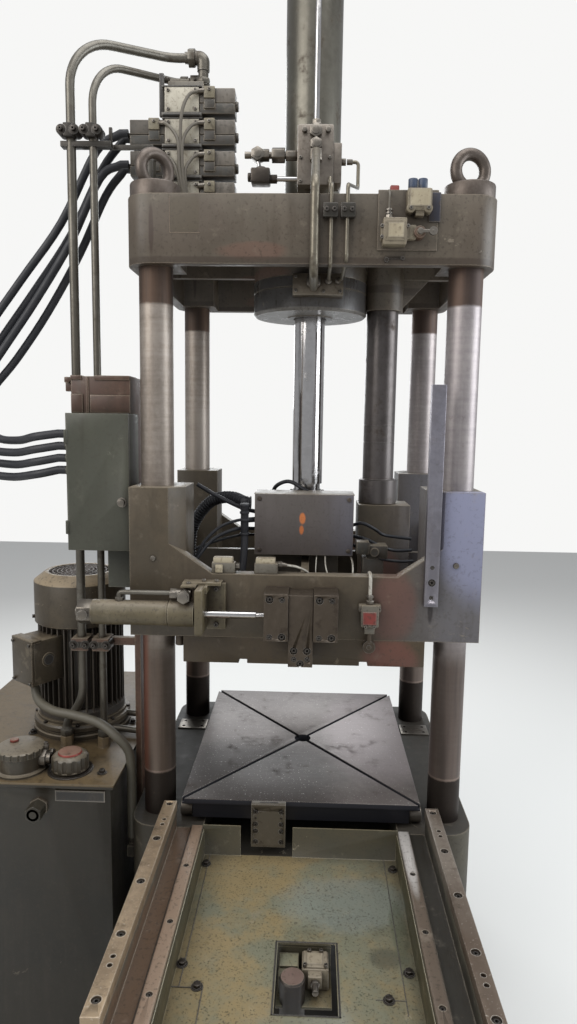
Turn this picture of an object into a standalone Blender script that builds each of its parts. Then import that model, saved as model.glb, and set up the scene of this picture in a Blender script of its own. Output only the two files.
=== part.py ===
"""Four-column hydraulic press with a sliding die table and a power pack at its left side.

Metres, +Z up, front towards -Y. The origin is on the floor, midway between the four columns.
"""

import math

import bmesh
import bpy
from mathutils import Matrix, Vector

# Fits
seat_gap = 0.0003
run_gap = 0.0006
overrun = 0.006
bolt_lug = 0.012

# Columns and the metal round them
column_dia = 0.080
column_pitch_x = 0.730
column_pitch_y = 0.606
column_reach = 0.0625
spigot_dia = 0.060
spigot_length = 0.090
nut_dia = 0.117
nut_height = 0.034
nut_bore_depth = 0.026
thread_dia = 0.066
eye_collar_dia = 0.046
eye_collar_height = 0.008
eye_ring_dia = 0.078
eye_bar_dia = 0.0215
eye_sink = 0.012

# Bed
bed_top = 0.602
bed_overhang_y = 0.092
bed_corner = 0.062
bay_half_width = 0.215
bay_floor = 0.060
bay_roof = 0.470
table_channel_depth = 0.075

# Rail beams in front of the bed
rail_reach = 0.637
track_inner_x = 0.240
track_wall_x = 0.3055
side_beam_thick = 0.0245
side_beam_rise = 0.039
beam_depth = 0.150
inner_strip_width = 0.027
inner_strip_height = 0.007
outer_strip_width = 0.032
outer_strip_height = 0.0245
strip_overhang = 0.003
leg_width = 0.066
leg_depth = 0.080
leg_inset = 0.018
cross_bar_height = 0.070

# Front tray
sheet = 0.003
tray_floor = 0.533
tray_panel_top = 0.611
tray_gap_left = 0.146
tray_gap_right = 0.018
tray_lip = 0.030
cutout_left = 0.039
cutout_right = 0.079
cutout_back = 0.292
cutout_front = 0.471
stop_dia = 0.050
stop_height = 0.095
stop_x = -0.007
stop_back = 0.372
stop_drop = 0.008
stop_bracket_drop = 0.055
tray_nose_length = 0.044
tray_nose_dia = 0.014
unit_plate_thick = 0.006
unit_plate_lap = 0.020
tray_switch_size = (0.054, 0.046, 0.050)
tray_switch_x = 0.038

# Sliding table
table_width = 0.593
table_depth = 0.720
table_front_y = -0.3743
table_clear = 0.014
table_block_height = 0.038
table_plate_height = 0.012
table_block_width = 0.540
table_slot_width = 0.010
table_slot_depth = 0.010
table_hole_dia = 0.048
roller_dia = 0.044
roller_width = 0.030
roller_inset = 0.038
axle_dia = 0.012
link_left = 0.121
link_right = 0.036
link_thick = 0.018
link_height = 0.112
link_lip = 0.014

# Table cylinder
table_cyl_dia = 0.050
table_cyl_bore = 0.040
table_cyl_length = 0.710
table_cyl_x = -0.0785
table_cyl_block = 0.056
table_cyl_block_length = 0.028
table_cyl_setback = 0.012
table_rod_dia = 0.024
table_piston_length = 0.026
table_stroke = 0.600

# Crosshead
head_bottom = 1.957
head_height = 0.153
head_deck = 0.036
head_wall = 0.030
head_rib = 0.020
boss_dia = 0.312
boss_drop = 0.088
boss_hub_height = 0.060
tail_guide_wall = 0.011
tail_guide_drop = 0.050
tail_gusset_run = 0.075

# Main cylinder and ram
barrel_dia = 0.150
barrel_bore = 0.125
barrel_above_valve = 0.401
cap_dia = 0.182
cap_height = 0.050
cap_plug_dia = 0.052
cap_plug_height = 0.022
rod_dia = 0.085
rod_neck_dia = 0.074
rod_neck_length = 0.024
rod_foot_dia = 0.104
rod_foot_height = 0.014
piston_height = 0.080
piston_rise = 0.340
port_block_left = 0.044
port_block_right = 0.084
port_block_depth = 0.036
port_block_height = 0.053
port_block_drop = 0.004

# Slide
slide_bottom = 1.085
slide_half_width = 0.418
slide_half_depth = 0.380
slide_skin = 0.040
tower_height = 0.359
tower_inner_x = 0.289
tower_chamfer = 0.036
tower_depth = 0.154
front_plate_height = 0.155
shoulder_height = 0.226
shoulder_run = 0.104
slide_deck = 0.040
side_plate = 0.030
side_plate_height = 0.215
ram_block_half = 0.090
ram_block_height = 0.306
tail_block_left = 0.146
tail_block_height = 0.290
tail_block_half_depth = 0.062

# Tail tube beside the ram
tail_x = 0.202
tail_dia = 0.087
tail_collar_dia = 0.107
tail_collar_height = 0.070
tail_length = 0.825

# Junction box on the slide
junction_left = 0.134
junction_right = 0.124
junction_front = 0.200
junction_low = 0.170
junction_high = 0.331
junction_lid = 0.006

# Carrier plate, its centre bar and guides
carrier_half_width = 0.290
carrier_half_depth = 0.380
carrier_thick = 0.0637
carrier_drop = 0.030
bar_width = 0.0565
bar_x = -0.006
bar_depth = 0.074
bar_above = 0.1245
bar_below = 0.0447
bar_notch = 0.012
guide_width = 0.0560
guide_depth = 0.080
guide_low = 0.017
guide_high = 0.1275
guide_tongue = 0.008

# Lock cylinder at the slide's front
lock_height = 0.070
lock_out = 0.050
lock_tube_dia = 0.058
lock_bore = 0.040
lock_head_dia = 0.061
lock_flange_x = -0.226
lock_flange_thick = 0.022
lock_flange_out = 0.088
lock_flange_low = 0.027
lock_flange_high = 0.136
lock_foot_width = 0.040
lock_foot_thick = 0.014
lock_head_length = 0.072
lock_tube_length = 0.180
lock_cap_length = 0.032
lock_port_width = 0.024
lock_port_rise = 0.046
lock_rod_dia = 0.018
lock_tip_dia = 0.013
lock_tip_length = 0.075
lock_piston_length = 0.022
lock_piston_back = 0.090
lock_in = 0.016
lock_out_stroke = 0.040

# Slide switch and its plunger
small_switch_width = 0.046
small_switch_height = 0.064
small_switch_depth = 0.032
small_switch_x = 0.1555
small_switch_low = 0.040
plunger_dia = 0.014
plunger_roller_dia = 0.030
plunger_roller_width = 0.012
plunger_drop = 0.050
plunger_travel = 0.005
switch_neck_dia = 0.024
switch_neck_length = 0.014

# Cam bar
cam_bar_x = 0.298
cam_bar_width = 0.033
cam_bar_thick = 0.018
cam_bar_low = 0.090
cam_bar_length = 0.515

# Crosshead switches and lever
head_switch_left = 0.150
head_switch_right = 0.284
head_switch_plate = 0.005
head_switch_low = 0.030
head_switch_high = 0.104
switch_body_width = 0.054
switch_body_height = 0.056
switch_body_depth = 0.034
switch_a_x = 0.186
switch_a_low = 0.035
switch_b_x = 0.240
switch_b_low = 0.104
pivot_x = 0.241
pivot_height = 0.063
pivot_dia = 0.026
pivot_length = 0.030
lever_pin_dia = 0.010
lever_width = 0.012
lever_thick = 0.004
lever_roller_dia = 0.018
lever_roller_width = 0.008
lever_reach = 0.028
lever_swing = 25.0

# Valve block in front of the barrel
valve_block_left = 0.038
valve_block_right = 0.053
valve_block_depth = 0.075
valve_block_low = 0.087
valve_block_high = 0.231
valve_side_width = 0.021
valve_side_height = 0.095
cartridge_dia = 0.027
cartridge_height = 0.022
riser_dia = 0.015
riser_drop = 0.042
riser_bend = 0.030
valve_arm_dia = 0.026
valve_arm_length = 0.120
valve_arm_height = 0.170
pilot_valve_size = (0.062, 0.050, 0.072)
pilot_valve_x = -0.126
feed_nut_dia = 0.030
feed_nut_length = 0.022
feed_nut_height = 0.150
feed_pipe_dia = 0.020
feed_pipe_x = 0.009
feed_pipe_out = 0.014
pilot_pipe_dia = 0.009
pilot_x = (0.046, 0.082)
pilot_clamp_height = 0.024
pilot_clamp_margin = 0.011

# Directional valves on the crosshead
stack_left = 0.382
stack_right = 0.288
stack_front = 0.062
stack_depth = 0.090
stack_height = 0.372
valve_row_pitch = 0.076
valve_first_row = 0.071
valve_body_depth = 0.060
valve_body_height = 0.064
coil_length = 0.094
coil_width = 0.054
coil_height = 0.062
plug_width = 0.034
plug_depth = 0.024

# Oil pipes down to the tank
oil_pipe_dia = (0.0225, 0.019)
oil_pipe_x = (-0.592, -0.537)
oil_pipe_y = -0.2155
oil_fitting_dia = 0.036
oil_fitting_length = 0.030
elbow_rise = 0.066
elbow_inset = 0.004
oil_pipe_fall = 0.035
stack_port_size = (0.040, 0.034, 0.030)
oil_bend = 0.070
pipe_rail_height = 0.165
pipe_rail_drop = 0.050
pipe_rail_thick = 0.010
pipe_clamp_height = 0.040
pipe_clamp_margin = 0.011
low_clamp_z = 1.010
low_clamp_height = 0.033

# Post, bracket and cabinet
post_width = 0.015
post_depth = 0.040
post_top = 1.705
post_foot_low = 0.400
bracket_left = 0.577
bracket_height = 0.089
bracket_depth = 0.070
bracket_skin = 0.008
cabinet_left = 0.583
cabinet_width = 0.153
cabinet_height = 0.335
cabinet_depth = 0.088
cabinet_wall = 0.004
door_thick = 0.012
hinge_dia = 0.010
door_open = 110.0
knob_dia = 0.018
knob_height = 0.012
gland_dia = 0.026
gland_length = 0.017
gland_pitch = 0.030
gland_drop = 0.051
gland_back = 0.050

# Power pack
tank_gap = 0.0265
tank_length = 0.540
tank_front = 0.424
tank_back = 0.360
tank_top = 0.720
tank_lid = 0.012
tank_lid_lap = 0.010
tank_foot_height = 0.050
tank_foot_width = 0.060
motor_x = -0.645
motor_y = -0.060
pump_ring_dia = 0.272
pump_ring_height = 0.050
motor_core_dia = 0.200
motor_fin_dia = 0.238
motor_fin_count = 20
motor_fin_share = 0.42
motor_shield_height = 0.030
motor_length = 0.280
motor_bell_height = 0.020
cover_dia = 0.252
cover_height = 0.125
cover_lap = 0.015
cover_cone_height = 0.022
cover_cone_dia = 0.190
cover_slot_count = 12
cover_slot_width = 0.009
cover_slot_inner = 0.028
cover_slot_outer = 0.086
shaft_dia = 0.028
shaft_sunk = 0.030
fan_dia = 0.206
fan_blade_count = 7
fan_blade_height = 0.040
fan_blade_thick = 0.004
fan_hub_dia = 0.070
fan_plate = 0.005
fan_lift = 0.018
terminal_width = 0.092
terminal_depth = 0.072
terminal_height = 0.122
terminal_low = 0.120
terminal_turn = 36.0
filler_x = -0.584
filler_y = -0.350
filler_dia = 0.092
filler_height = 0.034
filler_top_dia = 0.062
filler_top_height = 0.016
filler_lobes = 12
filler_lobe_depth = 0.005
filler_neck_dia = 0.056
filler_neck_height = 0.022
filler_turn = 60.0
filter_x = -0.710
filter_y = -0.350
filter_dia = 0.112
filter_flange_dia = 0.128
filter_flange_height = 0.014
filter_height = 0.062
filter_port_dia = 0.030
filter_port_length = 0.040
union_dia = 0.044
union_length = 0.036
union_x = -0.640
union_drop = 0.062

# Hoses and conduit
hose_dia = 0.019
conduit_dia = 0.020
slide_hose_dia = 0.034
ledge_length = 0.036
ledge_height = 0.030
conduit_ledge_z = 0.500
conduit_y = -0.305

# Round pieces: number of flat sides
big_sides = 24
round_sides = 16
small_sides = 12
tiny_sides = 8

# Places worked out from the sizes above
column_x = column_pitch_x / 2
column_y = column_pitch_y / 2
frame_half_width = column_x + column_reach
head_half_depth = column_y + column_reach
head_top = head_bottom + head_height
bed_front = -(column_y + bed_overhang_y)
rail_front = bed_front - rail_reach
channel_floor = bed_top - table_channel_depth
strip_back = bed_front + strip_overhang * 3
table_under = bed_top + table_clear
table_block_top = table_under + table_block_height
table_top = table_block_top + table_plate_height
table_rear_y = table_front_y + table_depth
roller_z = bed_top + roller_dia / 2 + seat_gap
link_top = table_block_top + table_plate_height - seat_gap
link_low = link_top - link_height
table_rod_z = (table_under + channel_floor) / 2
boss_top = head_bottom + boss_hub_height / 3
boss_low = boss_top - boss_drop
slide_top = slide_bottom + tower_height
ram_foot_z = slide_bottom + ram_block_height
lock_z = slide_bottom + lock_height
lock_y = -slide_half_depth - lock_out
tank_right = -(frame_half_width + tank_gap)
tank_left = tank_right - tank_length
motor_low = tank_top + pump_ring_height + seat_gap
motor_high = motor_low + motor_length
post_right = -(frame_half_width + seat_gap + bolt_lug / 3)
post_left = post_right - post_width
cabinet_right = -(cabinet_left - cabinet_width)
cabinet_back = oil_pipe_y - oil_pipe_dia[0] / 2 - seat_gap * 8
cabinet_front = cabinet_back - cabinet_depth
bracket_low = post_top - bracket_height
cabinet_top = bracket_low - seat_gap
cabinet_low = cabinet_top - cabinet_height
stack_low = head_top + seat_gap
barrel_top = head_top + valve_block_high + barrel_above_valve

model = bpy.data.collections.new("hydraulic_press")
helpers = bpy.data.collections.new("cutters")
bodies = {}


def clear_scene():
    for item in list(bpy.data.objects):
        bpy.data.objects.remove(item, do_unlink=True)
    bpy.context.scene.collection.children.link(model)
    bpy.context.scene.collection.children.link(helpers)
    helpers.hide_render = True


# Shapes. Each returns a helper object that a piece is then built from.


def helper(mesh):
    item = bpy.data.objects.new("helper", mesh)
    item.hide_render = True
    item.display_type = "WIRE"
    helpers.objects.link(item)
    return item


def mesh_from(builder):
    mesh = bpy.data.meshes.new("blank")
    work = bmesh.new()
    builder(work)
    bmesh.ops.remove_doubles(work, verts=work.verts, dist=seat_gap / 100)
    bmesh.ops.recalc_face_normals(work, faces=work.faces)
    work.to_mesh(mesh)
    work.free()
    return mesh


def box(low, high):
    low, high = Vector(low), Vector(high)
    place = Matrix.Translation((low + high) / 2) @ Matrix.Diagonal((*(high - low), 1))
    return helper(mesh_from(lambda work: bmesh.ops.create_cube(work, size=1, matrix=place)))


def turned_box(low, high, centre, degrees):
    item = box(low, high)
    turn = Matrix.Rotation(math.radians(degrees), 4, "Z")
    item.data.transform(Matrix.Translation(Vector(centre)) @ turn)
    return item


def bar(start, end, dia, sides=round_sides, end_dia=None):
    start, end = Vector(start), Vector(end)
    length = (end - start).length
    spin = Vector((0, 0, 1)).rotation_difference(end - start).to_matrix().to_4x4()
    place = Matrix.Translation((start + end) / 2) @ spin
    top = (dia if end_dia is None else end_dia) / 2

    def build(work):
        bmesh.ops.create_cone(
            work, cap_ends=True, segments=sides, radius1=dia / 2, radius2=top, depth=length, matrix=place
        )

    return helper(mesh_from(build))


def evaluated_mesh(item):
    graph = bpy.context.evaluated_depsgraph_get()
    return bpy.data.meshes.new_from_object(item.evaluated_get(graph))


def settled(item, place=None):
    """The item as it looks with its modifiers, welded, as a helper; the item itself goes."""
    mesh = evaluated_mesh(item)
    mesh.transform(item.matrix_world if place is None else place)
    work = bmesh.new()
    work.from_mesh(mesh)
    bmesh.ops.remove_doubles(work, verts=work.verts, dist=seat_gap / 100)
    bmesh.ops.recalc_face_normals(work, faces=work.faces)
    work.to_mesh(mesh)
    work.free()
    bpy.data.objects.remove(item, do_unlink=True)
    return helper(mesh)


def slab(outline, axis, low, high):
    """A flat outline with thickness, between low and high along X, Y or Z."""
    curve = bpy.data.curves.new("outline", "CURVE")
    curve.dimensions = "2D"
    curve.fill_mode = "BOTH"
    curve.extrude = (high - low) / 2
    spline = curve.splines.new("POLY")
    spline.points.add(len(outline) - 1)
    for point, (across, up) in zip(spline.points, outline):
        point.co = (across, up, 0, 1)
    spline.use_cyclic_u = True
    item = bpy.data.objects.new("outline", curve)
    helpers.objects.link(item)
    middle = (low + high) / 2
    turns = {
        "Z": Matrix.Translation((0, 0, middle)),
        "Y": Matrix.Translation((0, middle, 0)) @ Matrix.Rotation(math.radians(90), 4, "X"),
        "X": Matrix.Translation((middle, 0, 0)) @ Matrix(((0, 0, 1, 0), (1, 0, 0, 0), (0, 1, 0, 0), (0, 0, 0, 1))),
    }
    return settled(item, turns[axis])


def turned(profile, centre, sides=round_sides, ring=False):
    """A profile of (radius, height) points, top to bottom down its outer side, turned about Z."""
    points = [(radius, 0, height) for radius, height in profile]
    links = [(index, index + 1) for index in range(len(points) - 1)]
    if ring:
        links.append((len(points) - 1, 0))
    mesh = bpy.data.meshes.new("profile")
    mesh.from_pydata(points, links, [])
    item = bpy.data.objects.new("profile", mesh)
    helpers.objects.link(item)
    screw = item.modifiers.new("turn", "SCREW")
    screw.axis = "Z"
    screw.steps = sides
    screw.render_steps = sides
    screw.use_merge_vertices = True
    screw.merge_threshold = seat_gap / 100
    return settled(item, Matrix.Translation(Vector(centre)))


def rounded_rectangle(half_x, half_y, radius, steps=6):
    points = []
    for corner, (side_x, side_y) in enumerate(((1, 1), (-1, 1), (-1, -1), (1, -1))):
        for step in range(steps + 1):
            angle = math.radians(90) * (corner + step / steps)
            points.append(
                (
                    side_x * (half_x - radius) + radius * math.cos(angle),
                    side_y * (half_y - radius) + radius * math.sin(angle),
                )
            )
    return points


straight_angle = 82.0


def filleted(route, bend, steps=5):
    """A route of straight runs with a round bend at each inner point."""
    route = [Vector(point) for point in route]
    points = [route[0]]
    for before, corner, after in zip(route, route[1:], route[2:]):
        into, out = (before - corner).normalized(), (after - corner).normalized()
        half = into.angle(out) / 2
        if half > math.radians(straight_angle):
            points.append(corner)
            continue
        room = min((before - corner).length, (after - corner).length) / 2
        reach = min(bend / math.tan(half), room)
        radius = reach * math.tan(half)
        centre = corner + (into + out).normalized() * radius / math.sin(half)
        first, last = corner + into * reach - centre, corner + out * reach - centre
        sweep = first.angle(last)
        side = (last - first * math.cos(sweep)) / math.sin(sweep)
        for step in range(steps + 1):
            angle = sweep * step / steps
            points.append(centre + first * math.cos(angle) + side * math.sin(angle))
    points.append(route[-1])
    kept = [points[0]]
    for point in points[1:]:
        if (point - kept[-1]).length > seat_gap * 4:
            kept.append(point)
    return kept


def smooth(route, steps):
    """Points on a smooth curve through the route's own points."""
    route = [Vector(point) for point in route]
    ends = [route[0] * 2 - route[1], *route, route[-1] * 2 - route[-2]]
    points = []
    for p0, p1, p2, p3 in zip(ends, ends[1:], ends[2:], ends[3:]):
        for step in range(steps):
            t = step / steps
            points.append(
                (p1 * 2 + (p2 - p0) * t + (p0 * 2 - p1 * 5 + p2 * 4 - p3) * t**2 + (p1 * 3 - p0 - p2 * 3 + p3) * t**3)
                / 2
            )
    points.append(route[-1])
    return points


def cord_points(route, steps):
    """A smooth curve whose first and last runs stay straight, square to what they leave."""
    return [Vector(route[0]), *smooth(route[1:-1], steps), Vector(route[-1])]


def tube(points, dia, fine=2):
    curve = bpy.data.curves.new("route", "CURVE")
    curve.dimensions = "3D"
    curve.bevel_depth = dia / 2
    curve.bevel_resolution = fine
    curve.use_fill_caps = True
    spline = curve.splines.new("POLY")
    spline.points.add(len(points) - 1)
    for knot, point in zip(spline.points, points):
        knot.co = (*point, 1)
    item = bpy.data.objects.new("route", curve)
    helpers.objects.link(item)
    return settled(item)


# Pieces


def combine(base, others, operation):
    for other in others:
        cut = base.modifiers.new(operation.lower(), "BOOLEAN")
        cut.operation = operation
        cut.solver = "EXACT"
        cut.object = other
        mesh = evaluated_mesh(base)
        base.modifiers.clear()
        base.data = mesh
        bpy.data.objects.remove(other, do_unlink=True)


def finish(name, colour, roughness, metallic):
    material = bpy.data.materials.new(name)
    material.use_nodes = True
    surface = material.node_tree.nodes["Principled BSDF"]
    surface.inputs["Base Color"].default_value = (*colour, 1)
    surface.inputs["Roughness"].default_value = roughness
    surface.inputs["Metallic"].default_value = metallic
    return material


finishes = {
    "green": ((0.088, 0.098, 0.070), 0.55, 0.0),
    "olive": ((0.112, 0.098, 0.076), 0.55, 0.0),
    "ground": ((0.360, 0.315, 0.275), 0.32, 1.0),
    "chrome": ((0.700, 0.690, 0.670), 0.12, 1.0),
    "dark": ((0.052, 0.048, 0.044), 0.50, 0.6),
    "steel": ((0.180, 0.165, 0.145), 0.42, 0.9),
    "rust": ((0.110, 0.062, 0.040), 0.75, 0.1),
    "cream": ((0.440, 0.395, 0.310), 0.50, 0.0),
    "grey": ((0.140, 0.132, 0.120), 0.45, 0.3),
    "rubber": ((0.015, 0.015, 0.016), 0.55, 0.0),
    "red": ((0.330, 0.045, 0.035), 0.45, 0.0),
    "khaki": ((0.200, 0.165, 0.100), 0.45, 0.0),
    "oily": ((0.056, 0.050, 0.039), 0.40, 0.0),
    "table": ((0.205, 0.182, 0.165), 0.38, 0.9),
}


def body(name, origin=(0, 0, 0), parent=None):
    empty = bpy.data.objects.new(f"{name}_body", None)
    model.objects.link(empty)
    empty.empty_display_size = column_dia
    if parent:
        empty.parent = bodies[parent]
        empty.location = Vector(origin) - bodies[parent].matrix_world.translation
    else:
        empty.location = origin
    bodies[name] = empty
    bpy.context.view_layer.update()
    return empty


def piece(name, home, look, solids, cuts=()):
    """Joins the solids, takes the cuts out of them, and puts the result on its body."""
    base, *others = solids
    combine(base, others, "UNION")
    combine(base, cuts, "DIFFERENCE")
    origin = bodies[home].matrix_world.translation
    mesh = base.data
    mesh.transform(Matrix.Translation(-origin))
    mesh.materials.clear()
    mesh.materials.append(finish(name, *finishes[look]))
    mesh.shade_smooth()
    mesh.set_sharp_from_angle(angle=math.radians(40))
    item = bpy.data.objects.new(name, mesh)
    model.objects.link(item)
    item.parent = bodies[home]
    bpy.data.objects.remove(base, do_unlink=True)
    return item


def column_places():
    for row, side_y in (("front", -1), ("rear", 1)):
        for side, side_x in (("left", -1), ("right", 1)):
            yield f"column_{row}_{side}", side_x * column_x, side_y * column_y, row


# Frame


def make_bed():
    block = slab(rounded_rectangle(frame_half_width, -bed_front, bed_corner), "Z", 0, bed_top)
    foot = box(
        (-frame_half_width - tank_gap + bolt_lug / 3, conduit_y - ledge_length / 2, conduit_ledge_z - ledge_height),
        (-frame_half_width + overrun, conduit_y + ledge_length / 2, conduit_ledge_z),
    )
    conduit_x = -(frame_half_width + tank_gap / 2)
    gland = bar((conduit_x, conduit_y, conduit_ledge_z - overrun), (conduit_x, conduit_y, conduit_ledge_z + gland_length), conduit_dia, 6)
    cuts = [
        box((-bay_half_width, bed_front - overrun, bay_floor), (bay_half_width, -bed_front + overrun, bay_roof)),
        box(
            (-track_inner_x, bed_front - overrun, channel_floor),
            (track_inner_x, -bed_front + overrun, bed_top + overrun),
        ),
    ]
    for _, x, y, _ in column_places():
        hole = spigot_dia + seat_gap * 4
        cuts.append(bar((x, y, bed_top - spigot_length - seat_gap * 3), (x, y, bed_top + overrun), hole, round_sides))
    piece("bed", "frame", "green", [block, foot, gland], cuts)


def make_rail_beams():
    """Two L-shaped track beams on front legs, tied by a cross bar."""
    solids = []
    beam_low = bed_top - beam_depth
    for side in (-1, 1):
        outline = [
            (track_inner_x, beam_low),
            (track_wall_x + side_beam_thick, beam_low),
            (track_wall_x + side_beam_thick, bed_top + side_beam_rise),
            (track_wall_x, bed_top + side_beam_rise),
            (track_wall_x, bed_top),
            (track_inner_x + inner_strip_width, bed_top),
            (track_inner_x + inner_strip_width, bed_top + inner_strip_height),
            (track_inner_x, bed_top + inner_strip_height),
        ]
        if side < 0:
            outline = [(-across, up) for across, up in reversed(outline)]
        solids.append(slab(outline, "Y", rail_front, bed_front - seat_gap))
        leg_near, leg_far = sorted((side * (track_inner_x + leg_inset / 2), side * (track_inner_x + leg_inset / 2 + leg_width)))
        solids.append(
            box((leg_near, rail_front + leg_inset, 0), (leg_far, rail_front + leg_inset + leg_depth, beam_low + overrun))
        )
    bar_reach = track_inner_x + leg_inset
    solids.append(
        box(
            (-bar_reach, rail_front + leg_inset * 2, beam_low - cross_bar_height),
            (bar_reach, rail_front + leg_depth - leg_inset / 2, beam_low - overrun),
        )
    )
    piece("rail_beams", "frame", "green", solids)


def make_guide_strips():
    low = bed_top + side_beam_rise + seat_gap
    for name, side in (("guide_strip_left", -1), ("guide_strip_right", 1)):
        near = side * track_wall_x
        far = side * (track_wall_x + outer_strip_width)
        strip = box((min(near, far), rail_front, low), (max(near, far), strip_back, low + outer_strip_height))
        piece(name, "frame", "steel", [strip])


def make_front_tray():
    side = track_inner_x - seat_gap
    back = bed_front - seat_gap
    panel_top = tray_panel_top
    wall_top = bed_top - sheet
    solids = [
        box((-side, rail_front, tray_floor - sheet), (side, back, tray_floor)),
        box((-side, rail_front, tray_floor - sheet), (-side + sheet, back, wall_top)),
        box((side - sheet, rail_front, tray_floor - sheet), (side, back, wall_top)),
        box((-side, rail_front, tray_floor - sheet), (side, rail_front + sheet, tray_floor + tray_lip)),
        box((-side, back - sheet, tray_floor - sheet), (-tray_gap_left, back, panel_top)),
        box((-tray_gap_right, back - sheet, tray_floor - sheet), (side, back, panel_top)),
    ]
    cuts = [
        box(
            (-cutout_left, bed_front - cutout_front, tray_floor - sheet - overrun),
            (cutout_right, bed_front - cutout_back, tray_floor + overrun),
        )
    ]
    piece("front_tray", "frame", "khaki", solids, cuts)


def make_tray_stop():
    """Stop cylinder and limit switch on one bracket, hung behind the tray's cut-out."""
    top = tray_floor - sheet - seat_gap
    edge = bed_front - cutout_back
    stop_y = bed_front - stop_back
    low = top - stop_bracket_drop
    left, right = -cutout_left, cutout_right - stop_drop
    foot = box((left, edge, top - unit_plate_thick), (right, edge + unit_plate_lap, top))
    web = box(
        (left + seat_gap, edge + seat_gap, low - unit_plate_thick / 2),
        (right - seat_gap, edge + unit_plate_thick, top - unit_plate_thick / 2),
    )
    plate = box((left, stop_y - stop_dia / 3, low - unit_plate_thick), (right, edge + unit_plate_thick + seat_gap, low))
    stop_top = tray_floor - stop_drop
    post = bar((stop_x, stop_y, stop_top - stop_height), (stop_x, stop_y, stop_top), stop_dia)
    width, height, depth = tray_switch_size
    switch_y = edge - run_gap * 4 - depth / 2
    switch = box(
        (tray_switch_x - width / 2, switch_y - depth / 2, low - unit_plate_thick / 2),
        (tray_switch_x + width / 2, switch_y + depth / 2, stop_top),
    )
    nose_z = stop_top - height / 3
    nose = bar(
        (tray_switch_x, switch_y, nose_z),
        (tray_switch_x, switch_y - depth / 2 - tray_nose_length, nose_z),
        tray_nose_dia,
        tiny_sides,
    )
    clamp = box(
        (left + seat_gap * 4, stop_y + stop_dia / 6, low - unit_plate_thick / 2),
        (stop_x + stop_dia / 5, edge - run_gap * 6, stop_top - height / 4),
    )
    piece("tray_stop", "frame", "dark", [foot, web, plate, post, clamp, switch, nose])


def make_columns():
    for name, x, y, row in column_places():
        nut_low = head_top + seat_gap
        nut_top = nut_low + nut_height
        collar = nut_top + eye_collar_height
        profile = [
            (0, nut_top),
            (nut_dia / 2 - seat_gap * 10, nut_top),
            (nut_dia / 2, nut_top - seat_gap * 10),
            (nut_dia / 2, nut_low),
            (column_dia / 2, nut_low),
            (column_dia / 2, bed_top + seat_gap),
            (spigot_dia / 2, bed_top + seat_gap),
            (spigot_dia / 2, bed_top - spigot_length),
            (0, bed_top - spigot_length),
        ]
        solids = [turned(profile, (x, y, 0), big_sides)]
        solids.append(bar((x, y, nut_top - overrun), (x, y, collar), eye_collar_dia, small_sides))
        solids.append(lifting_ring(x, y, collar + eye_ring_dia / 2 - eye_sink, 25 if x < 0 else 0))
        piece(name, "frame", "ground", solids)


def lifting_ring(x, y, z, degrees):
    path = bpy.data.curves.new("ring_path", "CURVE")
    path.dimensions = "3D"
    path.bevel_depth = eye_bar_dia / 2
    path.bevel_resolution = 1
    spline = path.splines.new("POLY")
    spline.points.add(round_sides - 1)
    for index, point in enumerate(spline.points):
        angle = math.tau * index / len(spline.points)
        point.co = (eye_ring_dia / 2 * math.cos(angle), 0, eye_ring_dia / 2 * math.sin(angle), 1)
    spline.use_cyclic_u = True
    ring = bpy.data.objects.new("ring", path)
    helpers.objects.link(ring)
    turn = Matrix.Rotation(math.radians(degrees), 4, "Z")
    return settled(ring, Matrix.Translation((x, y, z)) @ turn)


def make_crosshead():
    """Welded box, open below: deck, four walls, a corner boss round each column, a hub and ribs."""
    block = slab(rounded_rectangle(frame_half_width, head_half_depth, column_reach), "Z", head_bottom, head_top)
    under = head_top - head_deck
    wide = box(
        (-frame_half_width + head_wall, -column_y + column_reach, head_bottom - overrun),
        (frame_half_width - head_wall, column_y - column_reach, under),
    )
    deep = box(
        (-column_x + column_reach, -head_half_depth + head_wall, head_bottom - overrun),
        (column_x - column_reach, head_half_depth - head_wall, under),
    )
    combine(block, [wide, deep], "DIFFERENCE")
    rib_low = head_bottom + head_deck
    solids = [
        block,
        bar((0, 0, boss_top + seat_gap), (0, 0, head_top - overrun), boss_dia, big_sides),
        box((-frame_half_width + overrun, -head_rib / 2, rib_low), (frame_half_width - overrun, head_rib / 2, under + overrun)),
        box((-head_rib / 2, -head_half_depth + overrun, rib_low), (head_rib / 2, head_half_depth - overrun, under + overrun)),
    ]
    guide_dia = tail_dia + (run_gap + tail_guide_wall) * 2
    guide_low = head_bottom - tail_guide_drop
    solids.append(bar((tail_x, 0, guide_low), (tail_x, 0, under + overrun), guide_dia, round_sides))
    gusset_x = tail_x + tail_dia / 2 + tail_guide_wall / 2
    gusset = [
        (gusset_x, head_bottom + head_deck),
        (gusset_x, guide_low + overrun),
        (gusset_x + tail_gusset_run, head_bottom + head_deck),
    ]
    solids.append(slab(gusset, "Y", -head_rib / 2 + overrun / 2, head_rib / 2 - overrun / 2))
    cuts = [
        bar((0, 0, guide_low - overrun), (0, 0, boss_top + seat_gap), boss_dia + seat_gap * 4, big_sides),
        bar((0, 0, head_bottom - overrun), (0, 0, head_top + overrun), barrel_dia + seat_gap * 4, big_sides),
        bar((tail_x, 0, guide_low - overrun), (tail_x, 0, head_top + overrun), tail_dia + run_gap * 2, round_sides),
    ]
    for _, x, y, _ in column_places():
        cuts.append(bar((x, y, head_bottom - overrun), (x, y, head_top + overrun), column_dia + seat_gap * 4, big_sides))
    piece("crosshead", "frame", "olive", solids, cuts)


# Main cylinder


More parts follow.
